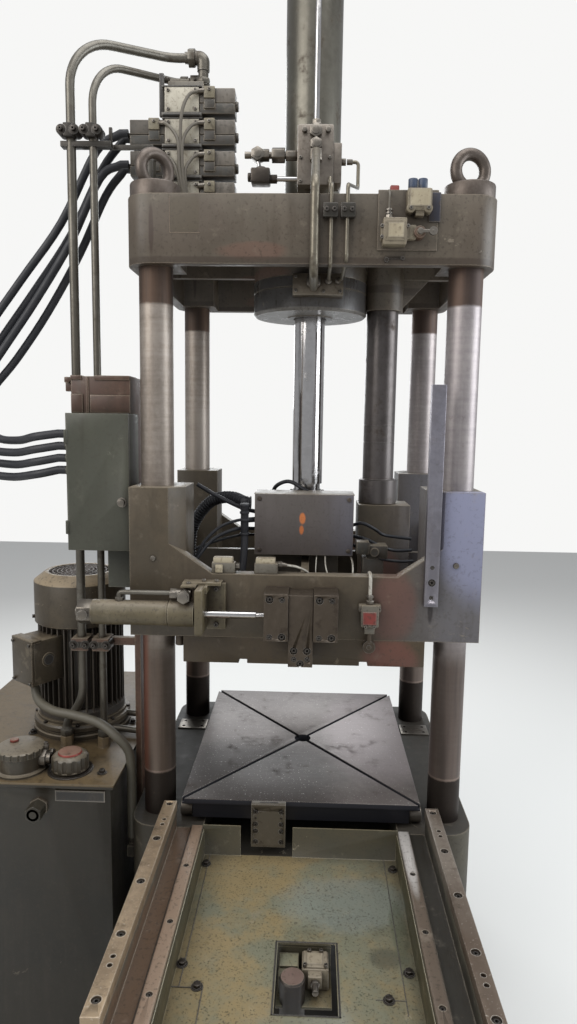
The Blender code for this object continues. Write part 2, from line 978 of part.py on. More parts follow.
def make_main_cylinder():
    rod_hole = rod_dia / 2 + run_gap
    flange = turned(
        [
            (boss_dia / 2, boss_top),
            (boss_dia / 2, boss_low + overrun),
            (boss_dia / 2 - overrun, boss_low),
            (rod_hole, boss_low),
            (rod_hole, boss_top),
        ],
        (0, 0, 0),
        big_sides,
        ring=True,
    )
    port_top = boss_top - port_block_drop
    port = box(
        (-port_block_left, -boss_dia / 2 - port_block_depth, port_top - port_block_height),
        (port_block_right, -boss_dia / 3, port_top),
    )
    clear_bore = bar((0, 0, boss_low - overrun), (0, 0, boss_top + overrun), rod_hole * 2, big_sides)
    piece("cylinder_flange", "frame", "olive", [flange, port], [clear_bore])

    barrel_low = boss_top + seat_gap
    barrel = turned(
        [
            (barrel_dia / 2, barrel_top),
            (barrel_dia / 2, barrel_low),
            (barrel_bore / 2, barrel_low),
            (barrel_bore / 2, barrel_top),
        ],
        (0, 0, 0),
        big_sides,
        ring=True,
    )
    piece("cylinder_barrel", "frame", "dark", [barrel])

    cap_low = barrel_top + seat_gap
    cap = turned(
        [
            (0, cap_low + cap_height + cap_plug_height),
            (cap_plug_dia / 2, cap_low + cap_height + cap_plug_height),
            (cap_plug_dia / 2, cap_low + cap_height),
            (cap_dia / 2 - overrun, cap_low + cap_height),
            (cap_dia / 2, cap_low + cap_height - overrun),
            (cap_dia / 2, cap_low),
            (0, cap_low),
        ],
        (0, 0, 0),
        big_sides,
    )
    piece("cylinder_cap", "frame", "dark", [cap])


def make_piston_rod():
    piston_low = boss_top + piston_rise
    foot_low = ram_foot_z + seat_gap
    foot_top = foot_low + rod_foot_height
    rod = turned(
        [
            (0, piston_low + piston_height),
            (barrel_bore / 2 - run_gap, piston_low + piston_height),
            (barrel_bore / 2 - run_gap, piston_low),
            (rod_dia / 2, piston_low),
            (rod_dia / 2, foot_top + rod_neck_length),
            (rod_neck_dia / 2, foot_top + rod_neck_length),
            (rod_neck_dia / 2, foot_top),
            (rod_foot_dia / 2, foot_top),
            (rod_foot_dia / 2, foot_low),
            (0, foot_low),
        ],
        (0, 0, 0),
        big_sides,
    )
    piece("piston_rod", "slide", "chrome", [rod])


# Slide


def plate_outline():
    """Front view of the slide's plates: two towers' feet, sloping shoulders and a lower middle."""
    shoulder_x = slide_half_width - slide_half_width * 0 - (slide_half_width - tower_inner_x - tower_chamfer)
    half = [
        (slide_half_width, slide_bottom),
        (slide_half_width, slide_top),
        (shoulder_x, slide_top),
        (shoulder_x, slide_bottom + shoulder_height),
        (shoulder_x - shoulder_run, slide_bottom + front_plate_height),
    ]
    return half + [(-across, up) for across, up in reversed(half)]


def tower_outline(side_x, side_y):
    """Plan of a tower: a rectangle with the inner outer-facing corner taken off."""
    front = slide_half_depth
    back = slide_half_depth - tower_depth
    points = [
        (slide_half_width, front),
        (tower_inner_x + tower_chamfer, front),
        (tower_inner_x, front - tower_chamfer),
        (tower_inner_x, back),
        (slide_half_width, back),
    ]
    placed = [(side_x * across, side_y * up) for across, up in points]
    return placed if side_x * side_y > 0 else list(reversed(placed))


def make_slide():
    outline = plate_outline()
    solids = [
        slab(outline, "Y", -slide_half_depth, -slide_half_depth + slide_skin),
        slab(outline, "Y", slide_half_depth - slide_skin, slide_half_depth),
        box(
            (-slide_half_width + overrun, -slide_half_depth + overrun, slide_bottom),
            (slide_half_width - overrun, slide_half_depth - overrun, slide_bottom + slide_deck),
        ),
    ]
    for side in (-1, 1):
        near, far = sorted((side * (slide_half_width - side_plate), side * (slide_half_width - seat_gap)))
        solids.append(
            box(
                (near, -slide_half_depth + overrun, slide_bottom + overrun),
                (far, slide_half_depth - overrun, slide_bottom + side_plate_height),
            )
        )
    deck = slide_bottom + slide_deck - overrun
    solids.append(
        box((-ram_block_half, -ram_block_half, deck), (ram_block_half, ram_block_half, ram_foot_z))
    )
    solids.append(
        box(
            (tail_block_left, -tail_block_half_depth, deck),
            (tower_inner_x, tail_block_half_depth, slide_bottom + tail_block_height),
        )
    )
    rib_top = slide_bottom + front_plate_height - overrun
    rib = head_rib / 2
    solids.append(box((-slide_half_width + side_plate / 2, -rib, deck), (slide_half_width - side_plate / 2, rib, rib_top)))
    solids.append(box((-rib, -slide_half_depth + overrun, deck), (rib, slide_half_depth - overrun, rib_top)))
    cuts = []
    for _, x, y, _ in column_places():
        side_x, side_y = math.copysign(1, x), math.copysign(1, y)
        solids.append(slab(tower_outline(side_x, side_y), "Z", slide_bottom, slide_top))
        cuts.append(
            bar((x, y, slide_bottom - overrun), (x, y, slide_top + overrun * 2), column_dia + run_gap * 2, big_sides)
        )
    piece("slide_frame", "slide", "olive", solids, cuts)


def make_tail_tube():
    low = slide_bottom + tail_block_height + seat_gap
    profile = [
        (0, low + tail_length),
        (tail_dia / 2, low + tail_length),
        (tail_dia / 2, low + tail_collar_height),
        (tail_collar_dia / 2, low + tail_collar_height),
        (tail_collar_dia / 2, low),
        (0, low),
    ]
    piece("tail_tube", "slide", "dark", [turned(profile, (tail_x, 0, 0), round_sides)])


def make_junction_box():
    low, high = slide_bottom + junction_low, slide_bottom + junction_high
    back = -ram_block_half - seat_gap
    case = box((-junction_left, -junction_front + junction_lid, low), (junction_right, back, high))
    margin = junction_lid / 2
    lid = box(
        (-junction_left - margin, -junction_front, low - margin),
        (junction_right + margin, -junction_front + junction_lid + margin, high + margin),
    )
    hose_end = slide_hose_route()[-1]
    gland = bar((-junction_left + overrun, hose_end[1], hose_end[2]), (hose_end[0] + seat_gap, hose_end[1], hose_end[2]), slide_hose_dia + overrun, tiny_sides)
    piece("junction_box", "slide", "grey", [case, lid, gland])


def make_carrier():
    top = slide_bottom - seat_gap
    low = top - carrier_thick
    inner, depth = carrier_half_width, carrier_half_depth
    plate = box((-inner, -depth, low), (inner, depth, top))
    slot = table_slot_width
    cuts = [
        box((x - slot, -depth - overrun, low - overrun), (x + slot, depth + overrun, low + slot))
        for x in (-inner / 2, inner / 2)
    ]
    piece("carrier_plate", "carrier", "olive", [plate], cuts)

    back = -slide_half_depth - seat_gap
    bar_low = slide_bottom - bar_below
    bar_high = slide_bottom + bar_above
    left, right = bar_x - bar_width / 2, bar_x + bar_width / 2
    block = box((left, back - bar_depth, bar_low), (right, back, bar_high))
    socket_dia = lock_tip_dia + run_gap * 2
    cuts = [
        bar((left - overrun, lock_y, lock_z), (left + lock_in + run_gap * 3, lock_y, lock_z), socket_dia, tiny_sides),
        box((left - overrun, back - bar_notch, bar_high - bar_notch), (right + overrun, back + overrun, bar_high + overrun)),
    ]
    piece("centre_bar", "carrier", "steel", [block], cuts)


def make_guide_blocks():
    back = -slide_half_depth - seat_gap
    low, high = slide_bottom + guide_low, slide_bottom + guide_high
    for name, side in (("guide_block_left", -1), ("guide_block_right", 1)):
        near = bar_x + side * (bar_width / 2 + run_gap)
        far = near + side * guide_width
        block = box((min(near, far), back - guide_depth, low), (max(near, far), back, high))
        cuts = []
        if side < 0:
            hole = lock_tip_dia + run_gap * 2
            cuts.append(bar((far - overrun, lock_y, lock_z), (near + overrun, lock_y, lock_z), hole, tiny_sides))
        piece(name, "slide", "steel", [block], cuts)


def make_lock_cylinder():
    back = -slide_half_depth - seat_gap
    flange_right = lock_flange_x
    flange_left = flange_right - lock_flange_thick
    head_left = flange_left - lock_head_length
    tube_left = head_left - lock_tube_length
    low, high = slide_bottom + lock_flange_low, slide_bottom + lock_flange_high
    solids = [
        box((flange_left, back - lock_flange_out, low), (flange_right, back, high)),
        box((flange_right - overrun, back - lock_foot_thick, low), (flange_right + lock_foot_width, back, high)),
        bar((head_left, lock_y, lock_z), (flange_left + overrun, lock_y, lock_z), lock_head_dia, round_sides),
        bar((tube_left, lock_y, lock_z), (head_left + overrun, lock_y, lock_z), lock_tube_dia, round_sides),
        bar((tube_left - lock_cap_length, lock_y, lock_z), (tube_left + overrun, lock_y, lock_z), lock_head_dia, 6),
        box(
            (flange_left - lock_port_width * 2, lock_y - lock_port_width / 2, lock_z),
            (flange_left - lock_port_width, lock_y + lock_port_width / 2, lock_z + lock_port_rise),
        ),
    ]
    cuts = [
        bar(
            (tube_left + overrun, lock_y, lock_z),
            (flange_left - overrun, lock_y, lock_z),
            lock_bore,
            round_sides,
        ),
        bar((flange_left - overrun * 2, lock_y, lock_z), (flange_right + overrun, lock_y, lock_z), lock_rod_dia + run_gap * 2, small_sides),
    ]
    piece("lock_cylinder", "slide", "olive", solids, cuts)


def make_lock_rod():
    bar_left = bar_x - bar_width / 2
    tip = bar_left - run_gap * 5
    neck = tip - lock_tip_length
    piston = lock_flange_x - lock_piston_back
    solids = [
        bar((neck - overrun, lock_y, lock_z), (tip, lock_y, lock_z), lock_tip_dia, tiny_sides),
        bar((piston - overrun, lock_y, lock_z), (neck, lock_y, lock_z), lock_rod_dia, small_sides),
        bar((piston - lock_piston_length, lock_y, lock_z), (piston, lock_y, lock_z), lock_bore - run_gap * 2, round_sides),
    ]
    piece("lock_rod", "lock", "chrome", solids)


def make_cam_bar():
    back = -slide_half_depth - seat_gap
    low = slide_bottom + cam_bar_low
    strip = box(
        (cam_bar_x - cam_bar_width / 2, back - cam_bar_thick, low),
        (cam_bar_x + cam_bar_width / 2, back, low + cam_bar_length),
    )
    piece("cam_bar", "slide", "steel", [strip])


def make_slide_switch():
    back = -slide_half_depth - seat_gap
    half = small_switch_width / 2
    low = slide_bottom + small_switch_low
    x = small_switch_x
    y = back - small_switch_depth / 2
    case = box((x - half, back - small_switch_depth, low), (x + half, back, low + small_switch_height))
    neck = bar((x, y, low - switch_neck_length), (x, y, low + overrun), switch_neck_dia, tiny_sides)
    gland_top = low + small_switch_height + switch_neck_length
    gland = bar((x, y, low + small_switch_height - overrun), (x, y, gland_top), switch_neck_dia, 6)
    bore_top = low + plunger_travel * 2 + switch_neck_length / 2
    bore = bar((x, y, low - switch_neck_length - overrun), (x, y, bore_top), plunger_dia + run_gap * 2, tiny_sides)
    piece("slide_switch", "slide", "grey", [case, neck, gland], [bore])

    roller_z_here = low - plunger_drop
    stem = bar((x, y, roller_z_here), (x, y, bore_top - plunger_travel - run_gap * 2), plunger_dia, tiny_sides)
    half_roller = plunger_roller_width / 2
    wheel = bar((x, y - half_roller, roller_z_here), (x, y + half_roller, roller_z_here), plunger_roller_dia, small_sides)
    piece("slide_switch_plunger", "plunger", "steel", [stem, wheel])


def slide_hose_route():
    box_side = -junction_left
    z = slide_bottom + junction_high
    y = -(ram_block_half + junction_front) / 2
    return [
        (box_side - 0.192, -0.055, slide_bottom + slide_deck + seat_gap),
        (box_side - 0.192, -0.055, slide_bottom + slide_deck + slide_hose_dia),
        (box_side - 0.192, -0.057, z - 0.140),
        (box_side - 0.168, -0.064, z - 0.078),
        (box_side - 0.124, -0.085, z - 0.032),
        (box_side - 0.070, -0.118, z - 0.020),
        (box_side - 0.030, y, z - 0.030),
        (box_side - 0.014, y, z - 0.030),
    ]


def make_slide_hose():
    piece("slide_hose", "slide", "rubber", [tube(cord_points(slide_hose_route(), 3), slide_hose_dia)])


# Table


def make_table():
    half = table_width / 2
    block_half = table_block_width / 2
    solids = [
        box((-half, table_front_y, table_block_top - overrun / 2), (half, table_rear_y, table_top)),
        box((-block_half, table_front_y + overrun / 3, table_under), (block_half, table_rear_y - overrun / 3, table_block_top)),
    ]
    length = math.hypot(table_width, table_depth)
    centre = (0, (table_front_y + table_rear_y) / 2, table_top)
    angle = math.degrees(math.atan2(table_depth, table_width))
    cuts = [
        turned_box(
            (-length / 2 - overrun, -table_slot_width / 2, -table_slot_depth),
            (length / 2 + overrun, table_slot_width / 2, overrun),
            centre,
            turn,
        )
        for turn in (angle, -angle)
    ]
    middle_y = centre[1]
    cuts.append(bar((0, middle_y, table_under - overrun), (0, middle_y, table_top + overrun), table_hole_dia, round_sides))
    for _, y in roller_rows():
        cuts.append(
            bar((-half - overrun, y, roller_z), (half + overrun, y, roller_z), axle_dia + run_gap * 2, small_sides)
        )
    piece("table_plate", "table", "table", solids, cuts)

    back = table_front_y - seat_gap
    bracket = box((-link_left, back - link_thick, link_low), (-link_right, back, link_top))
    rod_y = table_cyl_front() + table_cyl_length - table_cyl_block_length - table_piston_length - overrun
    rod = bar((table_cyl_x, back - link_thick / 2, table_rod_z), (table_cyl_x, rod_y, table_rod_z), table_rod_dia, small_sides)
    piston = bar(
        (table_cyl_x, rod_y - overrun, table_rod_z),
        (table_cyl_x, rod_y + table_piston_length - overrun, table_rod_z),
        table_cyl_bore - run_gap * 2,
        round_sides,
    )
    piece("table_link", "table", "steel", [bracket, rod, piston])


def roller_rows():
    yield "front_wheelset", table_front_y + roller_inset
    yield "rear_wheelset", table_rear_y - roller_inset


def make_wheelsets():
    outer = track_wall_x - run_gap * 4
    for name, y in roller_rows():
        axle = bar((-outer, y, roller_z), (outer, y, roller_z), axle_dia, small_sides)
        wheels = [
            bar((side * (outer - roller_width), y, roller_z), (side * outer, y, roller_z), roller_dia, round_sides)
            for side in (-1, 1)
        ]
        piece(name, name, "dark", [axle, *wheels])


def table_cyl_front():
    return bed_front + table_cyl_setback + link_thick * 2


def make_table_cylinder():
    front = table_cyl_front()
    rear = front + table_cyl_length
    half = table_cyl_block / 2
    x, z = table_cyl_x, table_rod_z
    foot = channel_floor + seat_gap
    solids = [
        bar((x, front + overrun, z), (x, rear - overrun, z), table_cyl_dia, round_sides),
        box((x - half, front, foot), (x + half, front + table_cyl_block_length, z + half)),
        box((x - half, rear - table_cyl_block_length, foot), (x + half, rear, z + half)),
    ]
    cuts = [
        bar(
            (x, front + table_cyl_block_length, z),
            (x, rear - table_cyl_block_length, z),
            table_cyl_bore,
            round_sides,
        ),
        bar((x, front - overrun, z), (x, front + table_cyl_block_length + overrun, z), table_rod_dia + run_gap * 2, small_sides),
    ]
    piece("table_cylinder", "frame", "dark", solids, cuts)


# Valves and pipes on the crosshead


def make_valve_block():
    back = -barrel_dia / 2 - seat_gap
    front = back - valve_block_depth
    low, high = head_top + valve_block_low, head_top + valve_block_high
    side_low = low + overrun
    middle_y = (back + front) / 2
    arm_z = head_top + valve_arm_height
    solids = [
        box((-valve_block_left, front, low), (valve_block_right, back, high)),
        box(
            (valve_block_right - overrun, front + overrun, side_low),
            (valve_block_right + valve_side_width, back - overrun, side_low + valve_side_height),
        ),
        bar((feed_pipe_x, middle_y, high - overrun), (feed_pipe_x, middle_y, high + cartridge_height), cartridge_dia, small_sides),
        bar(
            (-valve_block_left + overrun, middle_y, arm_z),
            (-valve_block_left - valve_arm_length, middle_y, arm_z),
            valve_arm_dia,
            6,
        ),
    ]
    width, depth, height = pilot_valve_size
    solids.append(
        box(
            (pilot_valve_x - width / 2, middle_y - depth / 2, arm_z - height),
            (pilot_valve_x + width / 2, middle_y + depth / 2, arm_z),
        )
    )
    nut_z = head_top + feed_nut_height
    solids.append(
        bar((feed_pipe_x, front + overrun, nut_z), (feed_pipe_x, front - feed_nut_length, nut_z), feed_nut_dia, 6)
    )
    riser = [
        (feed_pipe_x, middle_y, high),
        (feed_pipe_x, middle_y, barrel_top - riser_drop),
        (feed_pipe_x, back, barrel_top - riser_drop),
    ]
    solids.append(tube(filleted(riser, riser_bend), riser_dia))
    piece("valve_block", "frame", "steel", solids)


def make_feed_pipe():
    valve_front = -barrel_dia / 2 - seat_gap - valve_block_depth - feed_nut_length - seat_gap
    head_front = -head_half_depth - feed_pipe_out
    port_front = -boss_dia / 2 - port_block_depth - seat_gap
    port_z = boss_top - port_block_drop - port_block_height * 3 / 4
    nut_z = head_top + feed_nut_height
    x = feed_pipe_x
    route = [
        (x, valve_front, nut_z),
        (x, valve_front - feed_nut_dia, nut_z),
        (x, head_front, head_top + head_deck * 2 / 3),
        (x, head_front, port_z),
        (x, port_front, port_z),
    ]
    piece("feed_pipe", "frame", "steel", [tube(filleted(route, feed_pipe_dia * 3 / 2), feed_pipe_dia)])


def make_pilot_pipes():
    """Two thin pipes held by one twin clamp on the crosshead's front."""
    head_front = -head_half_depth
    pipe_y = head_front - pilot_clamp_margin
    port_front = -boss_dia / 2 - port_block_depth - seat_gap
    port_z = boss_top - port_block_drop - port_block_height * 2 / 3
    block_front = -barrel_dia / 2 - seat_gap - valve_block_depth
    block_z = head_top + valve_block_low + valve_side_height / 2
    side_x = valve_block_right + valve_side_width + seat_gap
    near, far = pilot_x
    top = head_top + head_deck
    routes = [
        [
            (near, port_front, port_z),
            (near, pipe_y, port_z),
            (near, pipe_y, top),
            (near, block_front - pilot_clamp_height, top + head_deck),
            (near, block_front - pilot_clamp_height, block_z),
            (near, block_front - seat_gap, block_z),
        ],
        [
            (far - pilot_pipe_dia, port_front, port_z),
            (far - pilot_pipe_dia, port_front - port_block_depth, port_z),
            (far, pipe_y, port_z),
            (far, pipe_y, top),
            (far + pilot_clamp_height, block_front, top + head_deck),
            (far + pilot_clamp_height, (block_front - barrel_dia / 2) / 2, block_z),
            (side_x, (block_front - barrel_dia / 2) / 2, block_z),
        ],
    ]
    clamp_z = head_bottom + head_height * 2 / 3
    clamp = box(
        (near - pilot_clamp_margin, pipe_y - pilot_clamp_margin * 2 / 3, clamp_z),
        (far + pilot_clamp_margin, head_front - seat_gap, clamp_z + pilot_clamp_height),
    )
    tubes = [tube(filleted(route, pilot_pipe_dia * 2, 3), pilot_pipe_dia, 1) for route in routes]
    piece("pilot_pipes", "frame", "steel", [clamp, *tubes])


def valve_rows():
    """Row number, height of the valve's middle, and whether it has a left coil."""
    for row, both in enumerate((False, True, True, False)):
        yield row, stack_low + valve_first_row + valve_row_pitch * row, both


def make_valve_stack():
    manifold = box((-stack_left, -stack_front, stack_low), (-stack_right, -stack_front + stack_depth, stack_low + stack_height))
    elbow = elbow_place()
    half = oil_fitting_dia / 2
    solids = [
        manifold,
        bar((elbow.x, elbow.y, stack_low + stack_height - overrun), (elbow.x, elbow.y, elbow.z + half), oil_fitting_dia),
        bar((elbow.x, elbow.y, elbow.z), (elbow.x - oil_fitting_length, elbow.y, elbow.z), oil_fitting_dia * fitting_share, 6),
        port_on_stack(),
    ]
    for row, z, both in valve_rows():
        if row:
            continue
        solids += valve_solids(z, both, joined=True)
    piece("valve_manifold", "frame", "steel", solids)
    for row, z, both in valve_rows():
        if row:
            piece(f"solenoid_valve_{row}", "frame", "cream", valve_solids(z, both, joined=False))


fitting_share = 0.9


def port_place():
    """Left end of the block on the valve stack where the second oil pipe starts."""
    length, width, height = stack_port_size
    return Vector((-stack_right - elbow_inset - length, -stack_front + stack_depth - width / 2 - overrun, stack_low + stack_height + height / 2))


def port_on_stack():
    length, width, height = stack_port_size
    end = port_place()
    return box(
        (end.x, end.y - width / 2, stack_low + stack_height - overrun),
        (end.x + length, end.y + width / 2, end.z + height / 2),
    )


def elbow_place():
    return Vector((-stack_right - elbow_inset, -stack_front + stack_depth / 4, stack_low + stack_height + elbow_rise))


def valve_solids(z, both, joined):
    back = -stack_front + (overrun if joined else -seat_gap)
    front = -stack_front - valve_body_depth
    middle_y = -stack_front - valve_body_depth / 2
    half_height = valve_body_height / 2
    solids = [box((-stack_left, front, z - half_height), (-stack_right, back, z + half_height))]
    sides = [(-stack_right, 1)]
    if both:
        sides.append((-stack_left, -1))
    for start, side in sides:
        near, far = sorted((start - side * overrun, start + side * coil_length))
        solids.append(
            box(
                (near, middle_y - coil_width / 2, z - coil_height / 2),
                (far, middle_y + coil_width / 2, z + coil_height / 2),
            )
        )
        middle = start + side * coil_length / 2
        solids.append(
            box(
                (middle - plug_width / 2, middle_y - coil_width / 2 - plug_depth, z - plug_width / 2),
                (middle + plug_width / 2, middle_y, z + plug_width / 2),
            )
        )
    return solids


def make_oil_pipes():
    elbow = elbow_place()
    first_x = elbow.x - oil_fitting_length - seat_gap
    tank_end = tank_top + oil_fitting_length + seat_gap
    a, b = oil_pipe_x
    y = oil_pipe_y
    first = [
        (first_x, elbow.y, elbow.z),
        (first_x - oil_bend, elbow.y, elbow.z),
        (a + oil_bend / 2, y, elbow.z - oil_pipe_fall),
        (a, y, elbow.z - oil_pipe_fall - oil_bend / 2),
        (a, y, (cabinet_low + tank_end) / 2),
        (a, y, tank_end + oil_bend * 3 / 2),
        (a - oil_bend * 2 / 3, y, tank_end + oil_bend / 2),
        (a - oil_bend * 2 / 3, y, tank_end),
    ]
    start = port_place()
    second_x = start.x - seat_gap
    second_z = start.z - oil_pipe_fall
    second = [
        (second_x, start.y, start.z),
        (second_x - oil_bend, start.y, start.z),
        (b, y, second_z),
        (b, y, second_z - oil_bend),
        (b, y, tank_end),
    ]
    for name, route, dia in zip(("oil_pipe_1", "oil_pipe_2"), (first, second), oil_pipe_dia):
        piece(name, "frame", "steel", [tube(filleted(route, oil_bend), dia)])


def make_pipe_rail():
    a, b = oil_pipe_x
    clamp_half = oil_pipe_dia[0] / 2 + pipe_clamp_margin
    low = head_top + pipe_rail_height
    high = low + pipe_clamp_height
    front = oil_pipe_y - clamp_half
    rail_front_y = oil_pipe_y + clamp_half - overrun
    rail_back = rail_front_y + pipe_rail_thick + overrun
    leg_right = -frame_half_width + bolt_lug * 2
    solids = [
        box((a - clamp_half, rail_front_y, low - pipe_rail_drop / 4), (leg_right, rail_back, high)),
        box((leg_right - bolt_lug, rail_front_y, head_top + seat_gap), (leg_right, rail_back, high - overrun)),
        box((leg_right - bolt_lug, rail_front_y, head_top + seat_gap), (leg_right + bolt_lug, rail_back + bolt_lug, head_top + pipe_rail_thick)),
    ]
    cuts = []
    for x, dia in zip((a, b), oil_pipe_dia):
        solids.append(box((x - clamp_half + run_gap, front, low), (x + clamp_half - run_gap, rail_back - overrun / 2, high)))
        cuts.append(bar((x, oil_pipe_y, low - overrun), (x, oil_pipe_y, high + overrun), dia + seat_gap * 4, small_sides))
    piece("pipe_rail", "frame", "grey", solids, cuts)


# Post, bracket and cabinet


def make_pipe_bracket():
    front_y = cabinet_back + seat_gap
    back_y = front_y + post_depth
    bracket_front = front_y - bracket_depth
    solids = [
        box((post_left, front_y, post_foot_low), (post_right, back_y, post_top)),
        box((post_left, front_y, post_foot_low), (-frame_half_width - seat_gap, back_y, bed_top - overrun)),
        box((-bracket_left, bracket_front, bracket_low), (post_right, bracket_front + bracket_skin, post_top)),
        box((-bracket_left, bracket_front, bracket_low), (post_right, front_y - seat_gap, bracket_low + bracket_skin)),
        box((-bracket_left, bracket_front, post_top - bracket_skin), (post_right, front_y - seat_gap, post_top)),
        box((post_left, bracket_front, bracket_low), (post_right, back_y, post_top)),
    ]
    clamp_half = oil_pipe_dia[0] / 2 + pipe_clamp_margin
    arm_front = oil_pipe_y + clamp_half - overrun
    arm_back = arm_front + pipe_rail_thick + overrun
    low, high = low_clamp_z - low_clamp_height / 2, low_clamp_z + low_clamp_height / 2
    solids.append(box((oil_pipe_x[0] - clamp_half / 2, arm_front, low + overrun), (post_left + overrun, arm_back, high - overrun)))
    cuts = []
    for x, dia in zip(oil_pipe_x, oil_pipe_dia):
        solids.append(box((x - clamp_half + run_gap, oil_pipe_y - clamp_half, low), (x + clamp_half - run_gap, arm_back - overrun / 2, high)))
        cuts.append(bar((x, oil_pipe_y, low - overrun), (x, oil_pipe_y, high + overrun), dia + seat_gap * 4, small_sides))
    piece("pipe_bracket", "frame", "rust", solids, cuts)


def make_cabinet():
    left = -cabinet_left
    wall = cabinet_wall
    case = box((left, cabinet_front, cabinet_low), (cabinet_right, cabinet_back, cabinet_top))
    solids = [case]
    for index in range(4):
        z = gland_height(index)
        y = cabinet_back - gland_back
        solids.append(bar((left - gland_length, y, z), (left + wall / 2, y, z), gland_dia, 6))
    inside = box(
        (left + wall, cabinet_front - overrun, cabinet_low + wall),
        (cabinet_right - wall, cabinet_back - wall, cabinet_top - wall),
    )
    piece("cabinet", "frame", "green", solids, [inside])

    door_back = cabinet_front - seat_gap
    panel = box((left, door_back - door_thick, cabinet_low), (cabinet_right, door_back, cabinet_top))
    knuckles = [
        bar(
            (left, door_back - door_thick, cabinet_low + cabinet_height * share),
            (left, door_back - door_thick, cabinet_low + cabinet_height * (share + hinge_share)),
            hinge_dia,
            tiny_sides,
        )
        for share in hinge_place_shares
    ]
    knob_x = cabinet_right - knob_dia
    knob_z = cabinet_low + cabinet_height * knob_share
    knob = bar((knob_x, door_back - door_thick + overrun / 2, knob_z), (knob_x, door_back - door_thick - knob_height, knob_z), knob_dia, small_sides)
    piece("cabinet_door", "door", "green", [panel, *knuckles, knob])


hinge_place_shares = (0.12, 0.78)
hinge_share = 0.10
knob_share = 0.36


def gland_height(index):
    return cabinet_top - gland_drop - gland_pitch * index


# Power pack


def make_tank():
    lap = tank_lid_lap
    lid_low = tank_top - tank_lid
    solids = [
        box((tank_left + lap, -tank_front + lap, tank_foot_height), (tank_right - lap, tank_back - lap, lid_low + tank_lid / 2)),
        box((tank_left, -tank_front, lid_low), (tank_right, tank_back, tank_top)),
        bar((filler_x, filler_y, tank_top - overrun), (filler_x, filler_y, tank_top + filler_neck_height), filler_neck_dia),
        bar(
            (union_x, -tank_front + lap + overrun, tank_top - union_drop),
            (union_x, -tank_front - union_length, tank_top - union_drop),
            union_dia,
            6,
        ),
    ]
    for x in (tank_left + lap * 2, tank_right - lap * 2 - tank_foot_width):
        solids.append(box((x, -tank_front + lap * 2, 0), (x + tank_foot_width, tank_back - lap * 2, tank_foot_height + overrun)))
    for x, dia in zip((oil_pipe_x[0] - oil_bend * 2 / 3, oil_pipe_x[1]), oil_pipe_dia):
        solids.append(bar((x, oil_pipe_y, tank_top - overrun), (x, oil_pipe_y, tank_top + oil_fitting_length), oil_fitting_dia, 6))
    piece("oil_tank", "frame", "oily", solids)


def make_pump_flange():
    low = tank_top + seat_gap
    high = low + pump_ring_height - seat_gap
    profile = [
        (0, high),
        (pump_ring_dia / 2 - overrun, high),
        (pump_ring_dia / 2, high - overrun),
        (pump_ring_dia / 2, low),
        (0, low),
    ]
    piece("pump_flange", "frame", "dark", [turned(profile, (motor_x, motor_y, 0), big_sides)])


def finned_outline(core, tip, count, share):
    points = []
    for index in range(count):
        start = math.tau * index / count
        width = math.tau / count * share
        for radius, angle in ((core, start), (tip, start + width * fin_taper_share), (tip, start + width), (core, start + width * (1 + fin_taper_share))):
            points.append((radius * math.cos(angle), radius * math.sin(angle)))
    return points


fin_taper_share = 0.12


def make_motor():
    centre = (motor_x, motor_y, 0)
    fins = slab(finned_outline(motor_core_dia / 2, motor_fin_dia / 2, motor_fin_count, motor_fin_share), "Z", motor_low + motor_shield_height / 2, motor_high - motor_bell_height / 2)
    fins.data.transform(Matrix.Translation(centre))
    solids = [
        fins,
        bar((motor_x, motor_y, motor_low), (motor_x, motor_y, motor_low + motor_shield_height), motor_fin_dia, big_sides),
        bar((motor_x, motor_y, motor_high - motor_bell_height), (motor_x, motor_y, motor_high), motor_bell_dia(), big_sides),
    ]
    reach = motor_fin_dia / 2 + terminal_depth
    terminal = turned_box(
        (-terminal_width / 2, -reach, motor_low + terminal_low),
        (terminal_width / 2, -motor_core_dia / 2 + overrun, motor_low + terminal_low + terminal_height),
        centre,
        -terminal_turn,
    )
    solids.append(terminal)
    bore = bar((motor_x, motor_y, motor_high - shaft_sunk - run_gap * 2), (motor_x, motor_y, motor_high + overrun), shaft_dia + run_gap * 2, small_sides)
    piece("motor", "frame", "grey", solids, [bore])


def motor_bell_dia():
    return cover_dia - (sheet + seat_gap * 2) * 2


def make_fan_cover():
    outer = cover_dia / 2
    low = motor_high - cover_lap
    shoulder = motor_high + cover_height - cover_cone_height
    top = motor_high + cover_height
    shell = turned(
        [
            (0, top),
            (cover_cone_dia / 2, top),
            (outer, shoulder),
            (outer, low),
            (outer - sheet, low),
            (outer - sheet, shoulder - sheet / 2),
            (cover_cone_dia / 2 - sheet / 2, top - sheet),
            (0, top - sheet),
        ],
        (motor_x, motor_y, 0),
        big_sides,
    )
    cuts = []
    for index in range(cover_slot_count):
        cuts.append(
            turned_box(
                (cover_slot_inner, -cover_slot_width / 2, top - sheet * 2),
                (cover_slot_outer, cover_slot_width / 2, top + overrun),
                (motor_x, motor_y, 0),
                360 * index / cover_slot_count,
            )
        )
    piece("fan_cover", "frame", "green", [shell], cuts)


